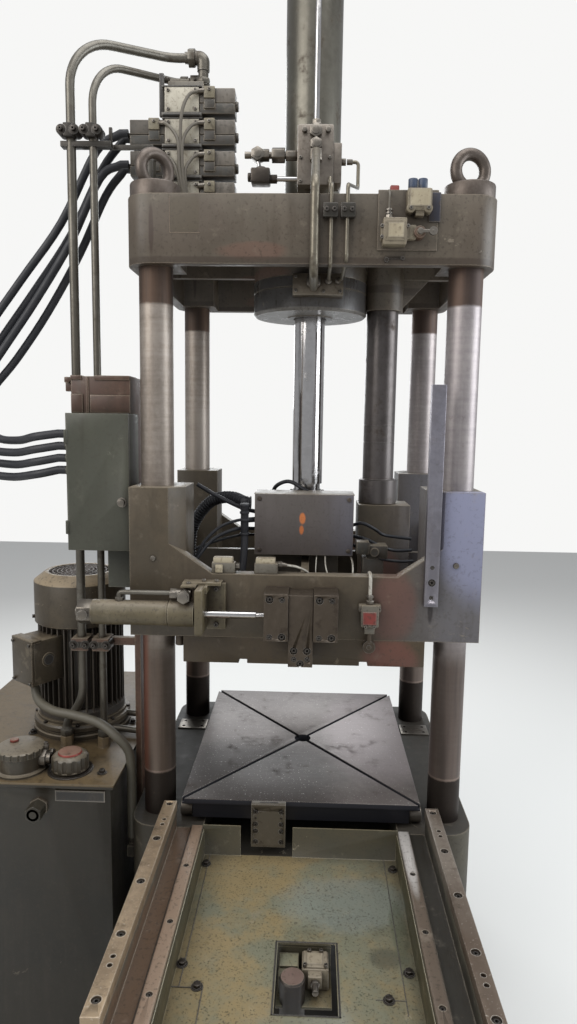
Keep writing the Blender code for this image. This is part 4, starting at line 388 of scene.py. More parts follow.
olivePaints = {
    "headPaint": {
        "stainsAndLight": (
            stainAndLightSpot((-0.3, -0.36, 2.035), (0.16, 0, 0.07), (0.06, 0.04, 0.026), 0.45),
            stainAndLightSpot((-0.285, -0.36, 2.064), (0.034, 0, 0.04), (0.07, 0.054, 0.033), 0.85, ragged=0.1, power=8.0),
            stainAndLightSpot((-0.362, -0.36, 2.035), (0.006, 0, 0.06), (0.04, 0.022, 0.014), 0.8, ragged=0.4),
            stainAndLightSpot((0.02, -0.36, 2.02), (0.16, 0, 0.05), (0.085, 0.06, 0.042), 0.2),
            stainAndLightSpot((-0.13, -0.36, 1.985), (0.09, 0, 0.022), (0.15, 0.075, 0.052), 0.5),
            stainAndLightSpot((0.0, -0.36, 1.962), (0, 0, 0.012), (0.045, 0.03, 0.02), 0.7, ragged=0.3),
            stainAndLightSpot((0.38, -0.36, 2.0), (0.05, 0, 0.1), (0.06, 0.042, 0.03), 0.3),
            stainAndLightSpot((-0.42, -0.36, 2.0), (0.05, 0, 0.12), (0.055, 0.04, 0.026), 0.45),
        )
    },
    "slidePaint": {
        "colour": (0.086, 0.065, 0.04), "second": (0.058, 0.045, 0.028), "specks": 0.22,
        # the right part is painted bluish-light, as if lit by sky-blue light from the right
        "zones": (zone(0, 0.18, 0.36, (0.132, 0.128, 0.142), 0.8, 0.04),),
        "stainsAndLight": (
            stainAndLightSpot((0.21, -0.38, 1.165), (0.065, 0, 0.1), (0.13, 0.06, 0.048), 0.7, ragged=0.3),
            stainAndLightSpot((0.3, -0.38, 1.16), (0.007, 0, 0.034), (0.018, 0.013, 0.014), 0.85, ragged=0.25),
            stainAndLightSpot((-0.05, -0.38, 1.11), (0.14, 0, 0.03), (0.045, 0.036, 0.024), 0.6),
            # painted bluish light on the right tower, not a stain
            stainAndLightSpot((0.42, -0.38, 1.37), (0.13, 0.05, 0.21), (0.245, 0.258, 0.375), 0.8, ragged=0.12),
        ),
    },
    "carrierPaint": {
        "colour": (0.05, 0.035, 0.018), "second": (0.062, 0.043, 0.022), "grimeAndShade": 0.6, "bare": (0.2, 0.165, 0.12),
        "stainsAndLight": (stainAndLightSpot((0.21, -0.38, 1.04), (0.075, 0, 0.06), (0.13, 0.048, 0.034), 0.8, ragged=0.3),),
    },
    "drumPaint": {
        "colour": (0.098, 0.094, 0.09), "second": (0.068, 0.064, 0.062), "tops": (0.09, 0.08, 0.07), "scuffs": 0.4,
        "rough": -0.14, "streaks": 0.6,
        "stainsAndLight": (stainAndLightSpot((0, 0, 1.892), (0, 0, 0.006), (0.24, 0.225, 0.205), 0.6, ragged=0.2),),
    },
    "boxPaint": {
        "colour": (0.114, 0.098, 0.092), "second": (0.098, 0.085, 0.078), "scuffs": 0.3, "streaks": 0.2,
        # the right part is painted bluish-light, as if lit from the right
        "pale": 0.1, "specks": 0.25, "zones": (zone(0, 0.02, 0.13, (0.148, 0.146, 0.178), 0.7),),
        "stainsAndLight": (
            stainAndLightSpot((-0.009, -0.2, 1.352), (0.0085, 0, 0.016), (0.6, 0.19, 0.055), 0.95, ragged=0.55),
            stainAndLightSpot((-0.011, -0.2, 1.322), (0.0065, 0, 0.013), (0.56, 0.17, 0.05), 0.95, ragged=0.55),
        ),
    },
    "rustPaint": {"colour": (0.11, 0.06, 0.038), "second": (0.07, 0.036, 0.024), "scuffs": 0.7},
    "valvePaint": {"colour": (0.15, 0.136, 0.11), "second": (0.105, 0.094, 0.075), "grimeAndShade": 0.9},
    "coilPaint": {
        "colour": (0.17, 0.15, 0.125), "second": (0.115, 0.1, 0.084), "tops": (0.28, 0.25, 0.205),
        "dirtAndShade": (0.036, 0.03, 0.022), "grimeAndShade": 0.8, "streaks": 0.6, "pale": 0.1,
        # the left-hand coils are painted darker, as painted shade
        "zones": (zone(0, -0.385, -0.395, (0.078, 0.066, 0.052), 0.85),),
    },
    "creamPaint": {
        "colour": (0.44, 0.385, 0.275), "second": (0.34, 0.29, 0.2), "dirtAndShade": (0.1, 0.07, 0.04),
        "bare": (0.26, 0.23, 0.19), "scuffs": 0.5,
    },
    "switchPaint": {"colour": (0.24, 0.205, 0.145), "second": (0.165, 0.138, 0.095), "dirtAndShade": (0.05, 0.036, 0.022)},
    "redPlastic": {
        "colour": (0.33, 0.045, 0.035), "second": (0.24, 0.04, 0.03), "bare": (0.15, 0.03, 0.02), "scuffs": 0.2,
    },
    "bluePlastic": {
        "colour": (0.048, 0.072, 0.125), "second": (0.036, 0.052, 0.09), "bare": (0.1, 0.12, 0.2), "scuffs": 0.2,
    },
    "whitePlastic": {
        "colour": (0.52, 0.5, 0.45), "second": (0.42, 0.4, 0.35), "bare": (0.6, 0.58, 0.5), "scuffs": 0.2,
    },
    "blackPlate": {
        "colour": (0.022, 0.021, 0.02), "second": (0.034, 0.031, 0.028), "bare": (0.2, 0.19, 0.17), "scuffs": 0.3,
    },
    "lockPaint": {
        "colour": (0.124, 0.101, 0.058), "second": (0.092, 0.075, 0.043), "bare": (0.3, 0.26, 0.19), "scuffs": 0.4,
        "chips": 0.8, "streaks": 0.3,
    },
    "redPlate": {
        "colour": (0.215, 0.036, 0.028), "second": (0.15, 0.03, 0.024), "bare": (0.24, 0.2, 0.17), "scuffs": 0.7,
    },
    "stopPaint": {
        "colour": (0.036, 0.028, 0.024), "second": (0.026, 0.022, 0.02), "tops": (0.15, 0.1, 0.082),
        "topLightShare": 0.9,
    },
    "navyPaint": {"colour": (0.03, 0.032, 0.052), "second": (0.024, 0.024, 0.036), "scuffs": 0.5},
    "palePaint": {
        "colour": (0.5, 0.47, 0.385), "second": (0.38, 0.35, 0.28), "dirtAndShade": (0.12, 0.09, 0.06),
        "bare": (0.56, 0.53, 0.45), "streaks": 0.5,
    },
    "coilDark": {"colour": (0.036, 0.036, 0.03), "second": (0.052, 0.046, 0.04), "scuffs": 0.4},
    "plugPaint": {"colour": (0.215, 0.19, 0.13), "second": (0.15, 0.13, 0.088)},
    "capPaint": {
        "colour": (0.05, 0.042, 0.03), "second": (0.038, 0.032, 0.022), "bare": (0.22, 0.19, 0.14), "edge": 0.003,
        "rough": -0.1,
    },
}
bareSteels = {
    "plainSteel": {},
    "darkSteel": {
        "colour": (0.075, 0.064, 0.054), "second": (0.05, 0.042, 0.036), "dirtAndShade": (0.018, 0.013, 0.01),
        "rough": 0.42,
    },
    "blockSteel": {
        "colour": (0.105, 0.083, 0.063), "second": (0.075, 0.058, 0.042), "dirtAndShade": (0.03, 0.02, 0.014), "metal": 0.6,
        "rough": 0.42,
    },
    "tableSteel": {
        "under": (0.6652, 0.6638, (0.026, 0.026, 0.032)), "colour": (0.185, 0.163, 0.152),
        "second": (0.13, 0.111, 0.103), "spots": 9, "tarnish": 0.22, "grain": (0.05, 1, 1), "rough": 0.44,
        "metal": 0.45, "specks": 0.6, "edge": 0.003, "bright": 1.0,
        "stainsAndLight": (
            stainAndLightSpot((-0.16, -0.27, 0), (0.3, 0.26, 0), (0.03, 0.022, 0.018), 0.85, ragged=0.25),
            stainAndLightSpot((0.22, 0.05, 0), (0.17, 0.36, 0), (0.29, 0.25, 0.25), 0.65, ragged=0.25),
        ),
    },
    "pipeSteel": {
        "colour": (0.16, 0.15, 0.128), "second": (0.11, 0.1, 0.082), "grain": (1, 1, 0.05), "metal": 0.6,
        "rough": 0.36,
    },
    "barrelSteel": {
        "colour": (0.14, 0.132, 0.109), "second": (0.102, 0.095, 0.078), "grain": (1, 1, 0.03), "rough": 0.32,
        "metal": 0.7,
    },
    "chrome": {
        "colour": (0.56, 0.545, 0.54), "second": (0.47, 0.455, 0.45), "tarnish": 0.16, "grimeAndShade": 0.5,
        "grain": (1, 1, 0.02), "rough": 0.12, "metal": 1.0,
    },
    "nutSteel": {
        "colour": (0.135, 0.112, 0.096), "second": (0.082, 0.064, 0.052), "rough": 0.42, "metal": 0.6,
        "tarnish": 0.75,
    },
    "portSteel": {"colour": (0.24, 0.205, 0.16), "second": (0.15, 0.122, 0.09), "metal": 0.7, "rough": 0.38},
    "tailSteel": {
        "colour": (0.125, 0.112, 0.108), "second": (0.082, 0.072, 0.068), "grain": (1, 1, 0.03), "rough": 0.34,
        "metal": 0.7,
    },
    "brightSteel": {
        "colour": (0.215, 0.188, 0.16), "second": (0.14, 0.12, 0.1), "dirtAndShade": (0.05, 0.036, 0.026), "tarnish": 0.7,
        "spots": 34, "rough": 0.34, "metal": 0.6,
    },
    "camSteel": {
        "colour": (0.3, 0.29, 0.33), "second": (0.22, 0.21, 0.236), "grain": (1, 1, 0.03), "tarnish": 0.3,
        "rough": 0.34,
    },
    "clampSteel": {
        "colour": (0.05, 0.046, 0.038), "second": (0.032, 0.028, 0.024), "metal": 0.5, "rough": 0.42,
        "tarnish": 0.4,
    },
    "feedSteel": {
        "colour": (0.2, 0.178, 0.138), "second": (0.14, 0.124, 0.094), "grain": (1, 1, 0.05), "rough": 0.36,
        "metal": 0.6,
    },
    "leftStrip": {
        "colour": (0.37, 0.28, 0.185), "second": (0.24, 0.178, 0.117), "shine": (0.75, 0.69, 0.6), "metal": 0.5,
        "rough": 0.42, "edge": 0.004, "bright": 1.0, "specks": 0.4,
    },
    "rightStrip": {
        "colour": (0.235, 0.2, 0.165), "second": (0.15, 0.118, 0.092), "shine": (0.75, 0.7, 0.62), "metal": 0.5,
        "rough": 0.42, "stainsAndLight": (stainAndLightSpot((0.32, -1.0, 0.66), (0, 0.24, 0), (0.11, 0.078, 0.055), 0.75),),
        "edge": 0.003, "bright": 1.0, "specks": 0.4,
    },
    "linkSteel": {
        "colour": (0.2, 0.178, 0.14), "second": (0.12, 0.104, 0.08), "spots": 60, "tarnish": 0.6, "metal": 0.4,
        "rough": 0.46, "edge": 0.003, "bright": 0.8,
    },
    "grilleSteel": {"colour": (0.12, 0.098, 0.086), "second": (0.07, 0.056, 0.05), "metal": 0.2, "rough": 0.6},
}
rubbers = {
    "blackRubber": ((0.013, 0.014, 0.018), (0.044, 0.044, 0.05)),
    "conduitSkin": ((0.088, 0.08, 0.06), (0.13, 0.115, 0.085)),
    "greyCable": ((0.105, 0.092, 0.072), (0.2, 0.18, 0.14)),
}
looks = {name: rubberLook(name, *setup) for name, setup in rubbers.items()}
for make, base, group in (
    (wornPaint, greens, greenPaints), (wornPaint, olives, olivePaints), (wornSteel, steels, bareSteels),
):
    looks.update({name: make(name, {**base, **setup}) for name, setup in group.items()})


def columnLook(name, side):  # ground bars, stained at the top, darker and browner below the slide and dark at the foot; painted bluish light on the right-hand bars and painted shade on the left-hand bars
    look = Look(name)
    x, y, z = look.xyz()
    fine = look.noise(90, 6, 0.7)
    blotch = look.noise(6, 5, 0.6, stretch=(1, 1, 0.5))
    rings = look.noise(60, 4, 0.6, stretch=(0.06, 0.06, 1.6))
    runs = look.noise(30, 5, 0.6, stretch=(1, 1, 0.05))
    steel = look.mix(
        look.fade(blotch + (fine - 0.5) * 0.4 + (rings - 0.5) * 0.35, 0.3, 0.7), (0.25, 0.212, 0.18),
        (0.42, 0.37, 0.325),
    )
    steel = look.mix(look.fade(runs, 0.5, 0.72) * 0.4, steel, (0.15, 0.115, 0.09))
    # painted light: bluish on the right-hand bars, painted shade on the left-hand bars
    steel = look.mix(look.fade(x, 0.0, 0.3) * side["paintedSideLight"], steel, (0.44, 0.45, 0.6))
    steel = look.mix(look.fade(x, 0.0, -0.3) * side["paintedSideLight"] * 0.8, steel, (0.14, 0.112, 0.088))
    # darker and browner below the slide
    belowSlide = look.fade(z + (blotch - 0.5) * 0.12, 1.12, 1.0)
    steel = look.mix(
        belowSlide * 0.86, steel, look.mix(look.fade(runs, 0.35, 0.65), (0.06, 0.043, 0.033), (0.12, 0.088, 0.07)),
    )
    top = look.fade(
        z + (blotch - 0.5) * 0.01 + (fine - 0.5) * 0.006, side["darkFrom"] - 0.004, side["darkFrom"] + 0.004,
    )
    red = look.fade(x + (runs - 0.5) * 0.02, -0.376, -0.392) * look.fade(z, 1.13, 1.08)
    steel = look.mix(red * side["red"], steel, (0.21, 0.078, 0.05))
    height = z + (fine - 0.5) * 0.006
    low = look.fade(height, side["darkBelow"] + 0.003, side["darkBelow"] - 0.003)
    ring = look.fade(height, side["darkBelow"] + 0.0065, side["darkBelow"] + 0.0035) * (1 - low)
    steel = look.mix(
        top * 0.92, steel, look.mix(look.fade(runs, 0.35, 0.7), (0.048, 0.031, 0.024), (0.11, 0.066, 0.044)),
    )
    steel = look.mix(low * 0.92, steel, look.mix(fine, (0.013, 0.01, 0.008), (0.032, 0.024, 0.019)))
    steel = look.mix(ring * 0.6, steel, (0.3, 0.23, 0.19))
    spots = look.fade(look.noise(34, 6, 0.7), 0.62, 0.72)
    steel = look.mix(spots * 0.35, steel, (0.11, 0.078, 0.056))
    rough = 0.34 + fine * 0.14 + top * 0.12 + low * 0.12 + rings * 0.05
    return look.finish(steel, rough, 0.72, rings * 0.25 + fine * 0.5, 0.0002)


looks["frontColumn"] = columnLook("frontColumn", {"darkFrom": 1.872, "darkBelow": 0.714, "red": 0.75, "paintedSideLight": 0.2})
looks["rearColumn"] = columnLook("rearColumn", {"darkFrom": 1.885, "darkBelow": 0.74, "red": 0.2, "paintedSideLight": 0.15})
print("materials made:", len(looks))

# Modelling

toFront, upwards = (0, -1, 0), (0, 0, 1)
bevelAngle, smoothAngle, flatAngle = 32, 34, 0.5
straightFrom = 84  # half a corner's angle above which a pipe counts as straight
mergeGap, pipeGap = 0.00002, 0.00001
hexShare = 0.577  # a hexagon's radius as a share of its width across flats
unmerged = ("slide_frame", "bed")  # their notched faces would tear if merged


def deselectAll():
    if bpy.context.object and bpy.context.object.mode != "OBJECT":
        bpy.ops.object.mode_set(mode="OBJECT")
    bpy.ops.object.select_all(action="DESELECT")


def useOnly(piece):
    deselectAll()
    piece.select_set(True)
    bpy.context.view_layer.objects.active = piece


def settle(piece):
    useOnly(piece)
    bpy.ops.object.transform_apply(location=True, rotation=True, scale=True)
    return piece


def softened(piece, width, segments=2):
    if width:
        useOnly(piece)
        bevel = piece.modifiers.new("round", "BEVEL")
        bevel.width, bevel.segments, bevel.limit_method = width, segments, "ANGLE"
        bevel.angle_limit = math.radians(bevelAngle)
        bpy.ops.object.modifier_apply(modifier="round")
    return piece


def block(low, high, width=0.0015, segments=2):
    deselectAll()
    low, high = Vector(low), Vector(high)
    bpy.ops.mesh.primitive_cube_add(size=1, location=(low + high) / 2)
    piece = bpy.context.object
    piece.scale = high - low
    return softened(settle(piece), width, segments)


def farEnd(start, end):  # a point, or the axis a piece runs along and the value it ends at
    if len(end) == 2:
        axis, value = end
        return Vector([value if name == axis else old for name, old in zip("xyz", start)])
    return Vector(end)


def bar(start, end, radius, endRadius=None, sides=28, width=0.0):
    deselectAll()
    start, end = Vector(start), farEnd(start, end)
    spin = (end - start).to_track_quat("Z", "Y").to_euler()
    bpy.ops.mesh.primitive_cone_add(
        vertices=sides, radius1=radius, radius2=radius if endRadius is None else endRadius,
        depth=(end - start).length, location=(start + end) / 2, rotation=spin,
    )
    return softened(settle(bpy.context.object), width)


def lathe(profile, base=(0, 0, 0), direction=upwards, sides=64):  # profile of (radius, height), closed on the axis
    mesh = bpy.data.meshes.new("profile")
    mesh.from_pydata(
        [(radius, 0, height) for radius, height in profile], [(i, i + 1) for i in range(len(profile) - 1)], [],
    )
    piece = bpy.data.objects.new("profile", mesh)
    bpy.context.scene.collection.objects.link(piece)
    useOnly(piece)
    bpy.ops.object.mode_set(mode="EDIT")
    bpy.ops.mesh.select_all(action="SELECT")
    bpy.ops.mesh.spin(steps=sides, angle=math.tau, center=(0, 0, 0), axis=upwards)
    bpy.ops.mesh.select_all(action="SELECT")
    bpy.ops.mesh.remove_doubles(threshold=mergeGap)
    bpy.ops.mesh.normals_make_consistent(inside=False)
    bpy.ops.object.mode_set(mode="OBJECT")
    piece.matrix_world = facing(base, direction)
    return settle(piece)


def smoothLine(route, steps=6):
    route = [Vector(point) for point in route]
    ends = [route[0] * 2 - route[1], *route, route[-1] * 2 - route[-2]]
    line = []
    for a, b, c, d in zip(ends, ends[1:], ends[2:], ends[3:]):
        for step in range(steps):
            t = step / steps
            square, cube = a * 2 - b * 5 + c * 4 - d, b * 3 - a - c * 3 + d
            line.append((b * 2 + (c - a) * t + square * t**2 + cube * t**3) / 2)
    return line + [route[-1]]


def bentLine(route, bend, steps=8):
    route = [Vector(point) for point in route]
    line = [route[0]]
    for before, corner, after in zip(route, route[1:], route[2:]):
        into, out = (before - corner).normalized(), (after - corner).normalized()
        half = into.angle(out) / 2
        if half > math.radians(straightFrom):
            line.append(corner)
            continue
        reach = min(bend / math.tan(half), min((before - corner).length, (after - corner).length) / 2)
        radius = reach * math.tan(half)
        centre = corner + (into + out).normalized() * radius / math.sin(half)
        first, last = corner + into * reach - centre, corner + out * reach - centre
        sweep = first.angle(last)
        side = (last - first * math.cos(sweep)) / math.sin(sweep)
        line += [
            centre + first * math.cos(sweep * i / steps) + side * math.sin(sweep * i / steps)
            for i in range(steps + 1)
        ]
    return line + [route[-1]]


def pipe(line, radius, ripple=None, keepCurve=False, fine=4):
    curve = bpy.data.curves.new("pipe", "CURVE")
    curve.dimensions, curve.bevel_depth, curve.bevel_resolution, curve.use_fill_caps = "3D", radius, fine, True
    spline = curve.splines.new("POLY")
    spline.points.add(len(line) - 1)
    for index, (knot, point) in enumerate(zip(spline.points, line)):
        knot.co = (*point, 1)
        knot.radius = 1 if ripple is None else ripple[index % len(ripple)]
    spline.use_smooth = True
    piece = bpy.data.objects.new("pipe", curve)
    bpy.context.scene.collection.objects.link(piece)
    if keepCurve:
        return piece
    useOnly(piece)
    bpy.ops.object.convert(target="MESH")
    piece = bpy.context.object
    bpy.ops.object.mode_set(mode="EDIT")
    bpy.ops.mesh.select_all(action="SELECT")
    bpy.ops.mesh.remove_doubles(threshold=pipeGap)
    bpy.ops.mesh.normals_make_consistent(inside=False)
    bpy.ops.object.mode_set(mode="OBJECT")
    return piece


def cut(piece, *cutters):
    for cutter in cutters:
        useOnly(piece)
        hole = piece.modifiers.new("hole", "BOOLEAN")
        hole.operation, hole.solver, hole.object = "DIFFERENCE", "EXACT", cutter
        bpy.ops.object.modifier_apply(modifier="hole")
        bpy.data.objects.remove(cutter, do_unlink=True)
    return piece


def joined(pieces):
    deselectAll()
    for piece in pieces:
        piece.select_set(True)
    bpy.context.view_layer.objects.active = pieces[0]
    if len(pieces) > 1:
        bpy.ops.object.join()
    return bpy.context.object


def copied(source, place):
    twin = source.copy()
    twin.data = source.data.copy()
    bpy.context.scene.collection.objects.link(twin)
    twin.matrix_world = place
    return settle(twin)


def facing(point, direction, spin=0.0):
    turn = Vector(direction).to_track_quat("Z", "Y").to_matrix().to_4x4()
    return Matrix.Translation(Vector(point)) @ turn @ Matrix.Rotation(spin, 4, "Z")


def dressed(node, width, segments=2):  # a merged, rounded copy of a node
    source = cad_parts[node]
    piece = source.copy()
    piece.data = source.data.copy()
    bpy.context.scene.collection.objects.link(piece)
    piece.parent = None
    piece.matrix_world = Matrix.Identity(4)
    useOnly(piece)
    bpy.ops.object.mode_set(mode="EDIT")
    bpy.ops.mesh.select_all(action="SELECT")
    bpy.ops.mesh.remove_doubles(threshold=mergeGap)
    if node not in unmerged:
        bpy.ops.mesh.dissolve_limited(angle_limit=math.radians(flatAngle))
    bpy.ops.object.mode_set(mode="OBJECT")
    return softened(piece, width, segments)


movingNodes = {
    "slide": (
        "piston_rod", "slide_frame", "tail_tube", "junction_box", "guide_block_left", "guide_block_right",
        "lock_cylinder", "cam_bar", "slide_switch", "slide_hose",
    ),
    "carrier": ("carrier_plate", "centre_bar"), "lock": ("lock_rod",), "plunger": ("slide_switch_plunger",),
    "table": ("table_plate", "table_link"), "front_wheelset": ("front_wheelset",),
    "rear_wheelset": ("rear_wheelset",), "door": ("cabinet_door",), "rotor": ("motor_rotor",),
    "filler": ("filler_cap",), "lever": ("switch_lever",),
}
bodyOf = {node: body for body, nodes in movingNodes.items() for node in nodes}


def show(pieces, name, look, slot, nodes=()):  # a finished piece, on the body of the node whose slot it takes
    piece = joined(pieces) if isinstance(pieces, list) else pieces
    piece.name = piece.data.name = name
    settle(piece)
    piece.data.materials.clear()
    piece.data.materials.append(looks[look])
    if piece.type == "MESH":
        bpy.ops.object.shade_smooth_by_angle(angle=math.radians(smoothAngle))
    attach(piece, bodyOf.get(slot, "frame"))
    if nodes:
        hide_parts(*nodes)


def standIn(pieces, look, node, name=None):  # a finished piece that takes its node's place
    show(pieces, name or node + "_shown", look, node, [node])


def capScrew(size):  # a hexagon socket screw, its seat at zero and its head along Z
    head = bar((0, 0, -size * 0.2), ("z", size * 0.62), size / 2, sides=24, width=size * 0.05)
    socket = bar((0, 0, size * 0.25), ("z", size), size * 0.26, sides=6)
    return cut(head, socket)


def hexHead(size, height):
    return bar((0, 0, -size * 0.1), ("z", height), size * hexShare, sides=6, width=size * 0.06)


screws = {size: capScrew(size) for size in (0.008, 0.01, 0.012, 0.014, 0.016)}
hexes = {size: hexHead(size, size * 0.5) for size in (0.01, 0.014)}


def ringOf(x, y, reach, z, angles):
    return [(x + reach * math.cos(a), y + reach * math.sin(a), z) for a in angles]


def evenAngles(count, first=0.0):
    return [math.tau * index / count + first for index in range(count)]


def uprights(x, y, reach, heights, radius, sides, angles):  # upright bars round a centre
    low, high = heights
    return [bar(point, ("z", high), radius, sides=sides) for point in ringOf(x, y, reach, low, angles)]


def screwsAt(size, places, direction):
    return [copied(screws[size], facing(place, direction, random.uniform(0, 1))) for place in places]


def hexesAt(size, places, direction):
    return [copied(hexes[size], facing(place, direction, random.uniform(0, 1))) for place in places]


def hexNut(start, end, across):
    return bar(start, end, across * hexShare, sides=6, width=across * 0.05)


# Cords

cords = {
    "hose_1": [
        (-0.4763, -0.11, 2.3333), (-0.4953, -0.11, 2.3333), (-0.56, -0.11, 2.29), (-0.655, -0.11264, 2.112),
        (-0.765, -0.12057, 1.962), (-0.875, -0.13379, 1.805), (-0.955, -0.15229, 1.65), (-0.95, -0.17607, 1.53),
        (-0.875, -0.20515, 1.468), (-0.765, -0.23951, 1.452), (-0.68, -0.27915, 1.462), (-0.6193, -0.27915, 1.4747),
        (-0.6003, -0.27915, 1.4747),
    ],
    "hose_2": [
        (-0.4763, -0.074, 2.3333), (-0.4953, -0.074, 2.3333), (-0.556, -0.074, 2.25667),
        (-0.64333, -0.07721, 2.088), (-0.746, -0.08682, 1.93633), (-0.84667, -0.10285, 1.79),
        (-0.92267, -0.12529, 1.655), (-0.92067, -0.15414, 1.55067), (-0.854, -0.1894, 1.49533),
        (-0.75667, -0.23107, 1.483), (-0.67933, -0.27915, 1.49333), (-0.6193, -0.27915, 1.5047),
        (-0.6003, -0.27915, 1.5047),
    ],
    "hose_3": [
        (-0.4763, -0.11, 2.2573), (-0.4953, -0.11, 2.2573), (-0.552, -0.11, 2.22333), (-0.63167, -0.11264, 2.064),
        (-0.727, -0.12057, 1.91067), (-0.81833, -0.13379, 1.775), (-0.89033, -0.15229, 1.66),
        (-0.89133, -0.17607, 1.57133), (-0.833, -0.20515, 1.52267), (-0.74833, -0.23951, 1.514),
        (-0.67867, -0.27915, 1.52467), (-0.6193, -0.27915, 1.5347), (-0.6003, -0.27915, 1.5347),
    ],
    "hose_4": [
        (-0.4763, -0.074, 2.2573), (-0.4953, -0.074, 2.2573), (-0.548, -0.074, 2.19), (-0.62, -0.07721, 2.04),
        (-0.708, -0.08682, 1.885), (-0.79, -0.10285, 1.76), (-0.858, -0.12529, 1.665), (-0.862, -0.15414, 1.592),
        (-0.812, -0.1894, 1.55), (-0.74, -0.23107, 1.545), (-0.678, -0.27915, 1.556), (-0.6193, -0.27915, 1.5647),
        (-0.6003, -0.27915, 1.5647),
    ],
    "motor_conduit": [
        (-0.73611, -0.1854, 0.89), (-0.73611, -0.1854, 0.876), (-0.71411, -0.2154, 0.844),
        (-0.66111, -0.2514, 0.832), (-0.60111, -0.2674, 0.828), (-0.53111, -0.2834, 0.816),
        (-0.48075, -0.305, 0.792), (-0.44675, -0.305, 0.75), (-0.44075, -0.305, 0.68), (-0.44075, -0.305, 0.5773),
        (-0.44075, -0.305, 0.5373), (-0.44075, -0.305, 0.5173),
    ],
    "slide_hose": [
        (-0.326, -0.055, 1.1253), (-0.326, -0.055, 1.159), (-0.326, -0.057, 1.276), (-0.302, -0.064, 1.338),
        (-0.258, -0.085, 1.384), (-0.204, -0.118, 1.396), (-0.164, -0.145, 1.386), (-0.148, -0.145, 1.386),
    ],
}
cordSizes = {"hose": 0.021, "conduit": 0.024, "ribbed": 0.034, "ribs": (1.0, 1.0, 0.84, 0.84), "ribPitch": 0.0022}


def cordLine(route, steps):
    return [Vector(route[0]), *smoothLine(route[1:-1], steps), Vector(route[-1])]


def lineLength(line):
    return sum((after - before).length for before, after in zip(line, line[1:]))


def evened(line, pitch):  # the same line with points at an even pitch
    total, points, run, place = lineLength(line), [line[0]], 0.0, 1
    count = max(2, round(total / pitch))
    for index in range(1, count):
        goal = total * index / count
        while run + (line[place] - line[place - 1]).length < goal:
            run += (line[place] - line[place - 1]).length
            place += 1
        points.append(line[place - 1].lerp(line[place], (goal - run) / (line[place] - line[place - 1]).length))
    return points + [line[-1]]


def makeCords():
    for name, route in cords.items():
        ribbed = name == "slide_hose"
        line = cordLine(route, 5)
        size = cordSizes["ribbed" if ribbed else "conduit" if name == "motor_conduit" else "hose"]
        if ribbed:
            line = evened(line, cordSizes["ribPitch"])
            piece = pipe(line, size / 2, cordSizes["ribs"])
        else:
            piece = pipe(line, size / 2, keepCurve=True)
        standIn(piece, "conduitSkin" if name == "motor_conduit" else "blackRubber", name, name + "_cord")
        round(lineLength(line), 4)


makeCords()
print("cords made")

# Columns, nuts and lifting eyes

columnSizes = {
    "spread": (0.365, 0.303), "radius": 0.04, "foot": 0.512, "shoulder": 2.1103, "nutRadius": 0.0585,
    "nutTop": 2.1443, "chamfer": 0.004, "collarRadius": 0.025, "eyeRadius": 0.0365, "eyeBar": 0.0137,
    "eyeHeight": 2.1793, "eyeTurn": (42, 16),
}


def makeColumns():
    size = columnSizes
    for end, y in (("front", -1), ("rear", 1)):
        for side, x in (("left", -1), ("right", 1)):
            base = (x * size["spread"][0], y * size["spread"][1], 0)
            node = f"column_{end}_{side}"
            shaft = lathe(
                [
                    (0, size["foot"]), (size["radius"], size["foot"]), (size["radius"], size["shoulder"] + 0.002),
                    (0, size["shoulder"] + 0.002),
                ],
                base,
            )
            standIn(shaft, end + "Column", node, node + "_shaft")
            nutLow, nutTop, edge, wide = size["shoulder"], size["nutTop"], size["chamfer"], size["nutRadius"]
            nut = lathe(
                [
                    (0, nutLow), (wide, nutLow), (wide, nutTop - edge), (wide - edge * 0.3, nutTop - edge * 0.3),
                    (wide - edge, nutTop), (wide * 0.6, nutTop), (wide * 0.57, nutTop - 0.002),
                    (wide * 0.54, nutTop), (0, nutTop),
                ],
                base,
            )
            collar = lathe(
                [
                    (0, nutTop - 0.002), (size["collarRadius"], nutTop - 0.002),
                    (size["collarRadius"], nutTop + 0.005), (size["collarRadius"] * 0.6, nutTop + 0.01),
                    (0, nutTop + 0.01),
                ],
                base,
            )
            drilled = uprights(
                base[0], base[1], wide * 0.78, (nutTop - 0.008, nutTop + 0.002), 0.0035, 16, (-1.75, 1.39),
            )
            cut(nut, *drilled)
            deselectAll()
            bpy.ops.mesh.primitive_torus_add(
                major_radius=size["eyeRadius"], minor_radius=size["eyeBar"], major_segments=64, minor_segments=24,
                location=(base[0], base[1], size["eyeHeight"]),
                rotation=(math.pi / 2, 0, math.radians(size["eyeTurn"][0 if x < 0 else 1])),
            )
            eye = settle(bpy.context.object)
            show([nut, collar, eye], node + "_nut", "nutSteel", node)


makeColumns()

# Crosshead


def makeCrosshead():
    standIn(dressed("crosshead", 0.003, 2), "headPaint", "crosshead")
    seam = [
        block((-0.32, -0.3662, 2.024), (-0.3188, -0.3648, 2.104), 0.0002, 1),
        block((-0.32, -0.3662, 2.0235), (-0.251, -0.3648, 2.0248), 0.0002, 1),
    ]
    show(seam, "crosshead_patch_seam", "rustPaint", "crosshead")
    clip = [
        block((0.169, -0.369, 1.968), (0.213, -0.3655, 1.974)), bar((0.172, -0.375, 1.966), ("y", -0.3655), 0.005),
        bar((0.208, -0.375, 1.97), ("y", -0.3655), 0.004),
    ]
    show(clip, "crosshead_clip", "darkSteel", "crosshead")
    indicator = block((0.183, -0.3, 2.11), (0.204, -0.282, 2.15), 0.003)
    show(indicator, "crosshead_red_plug", "redPlastic", "crosshead")


makeCrosshead()

# Main cylinder, ram and ports


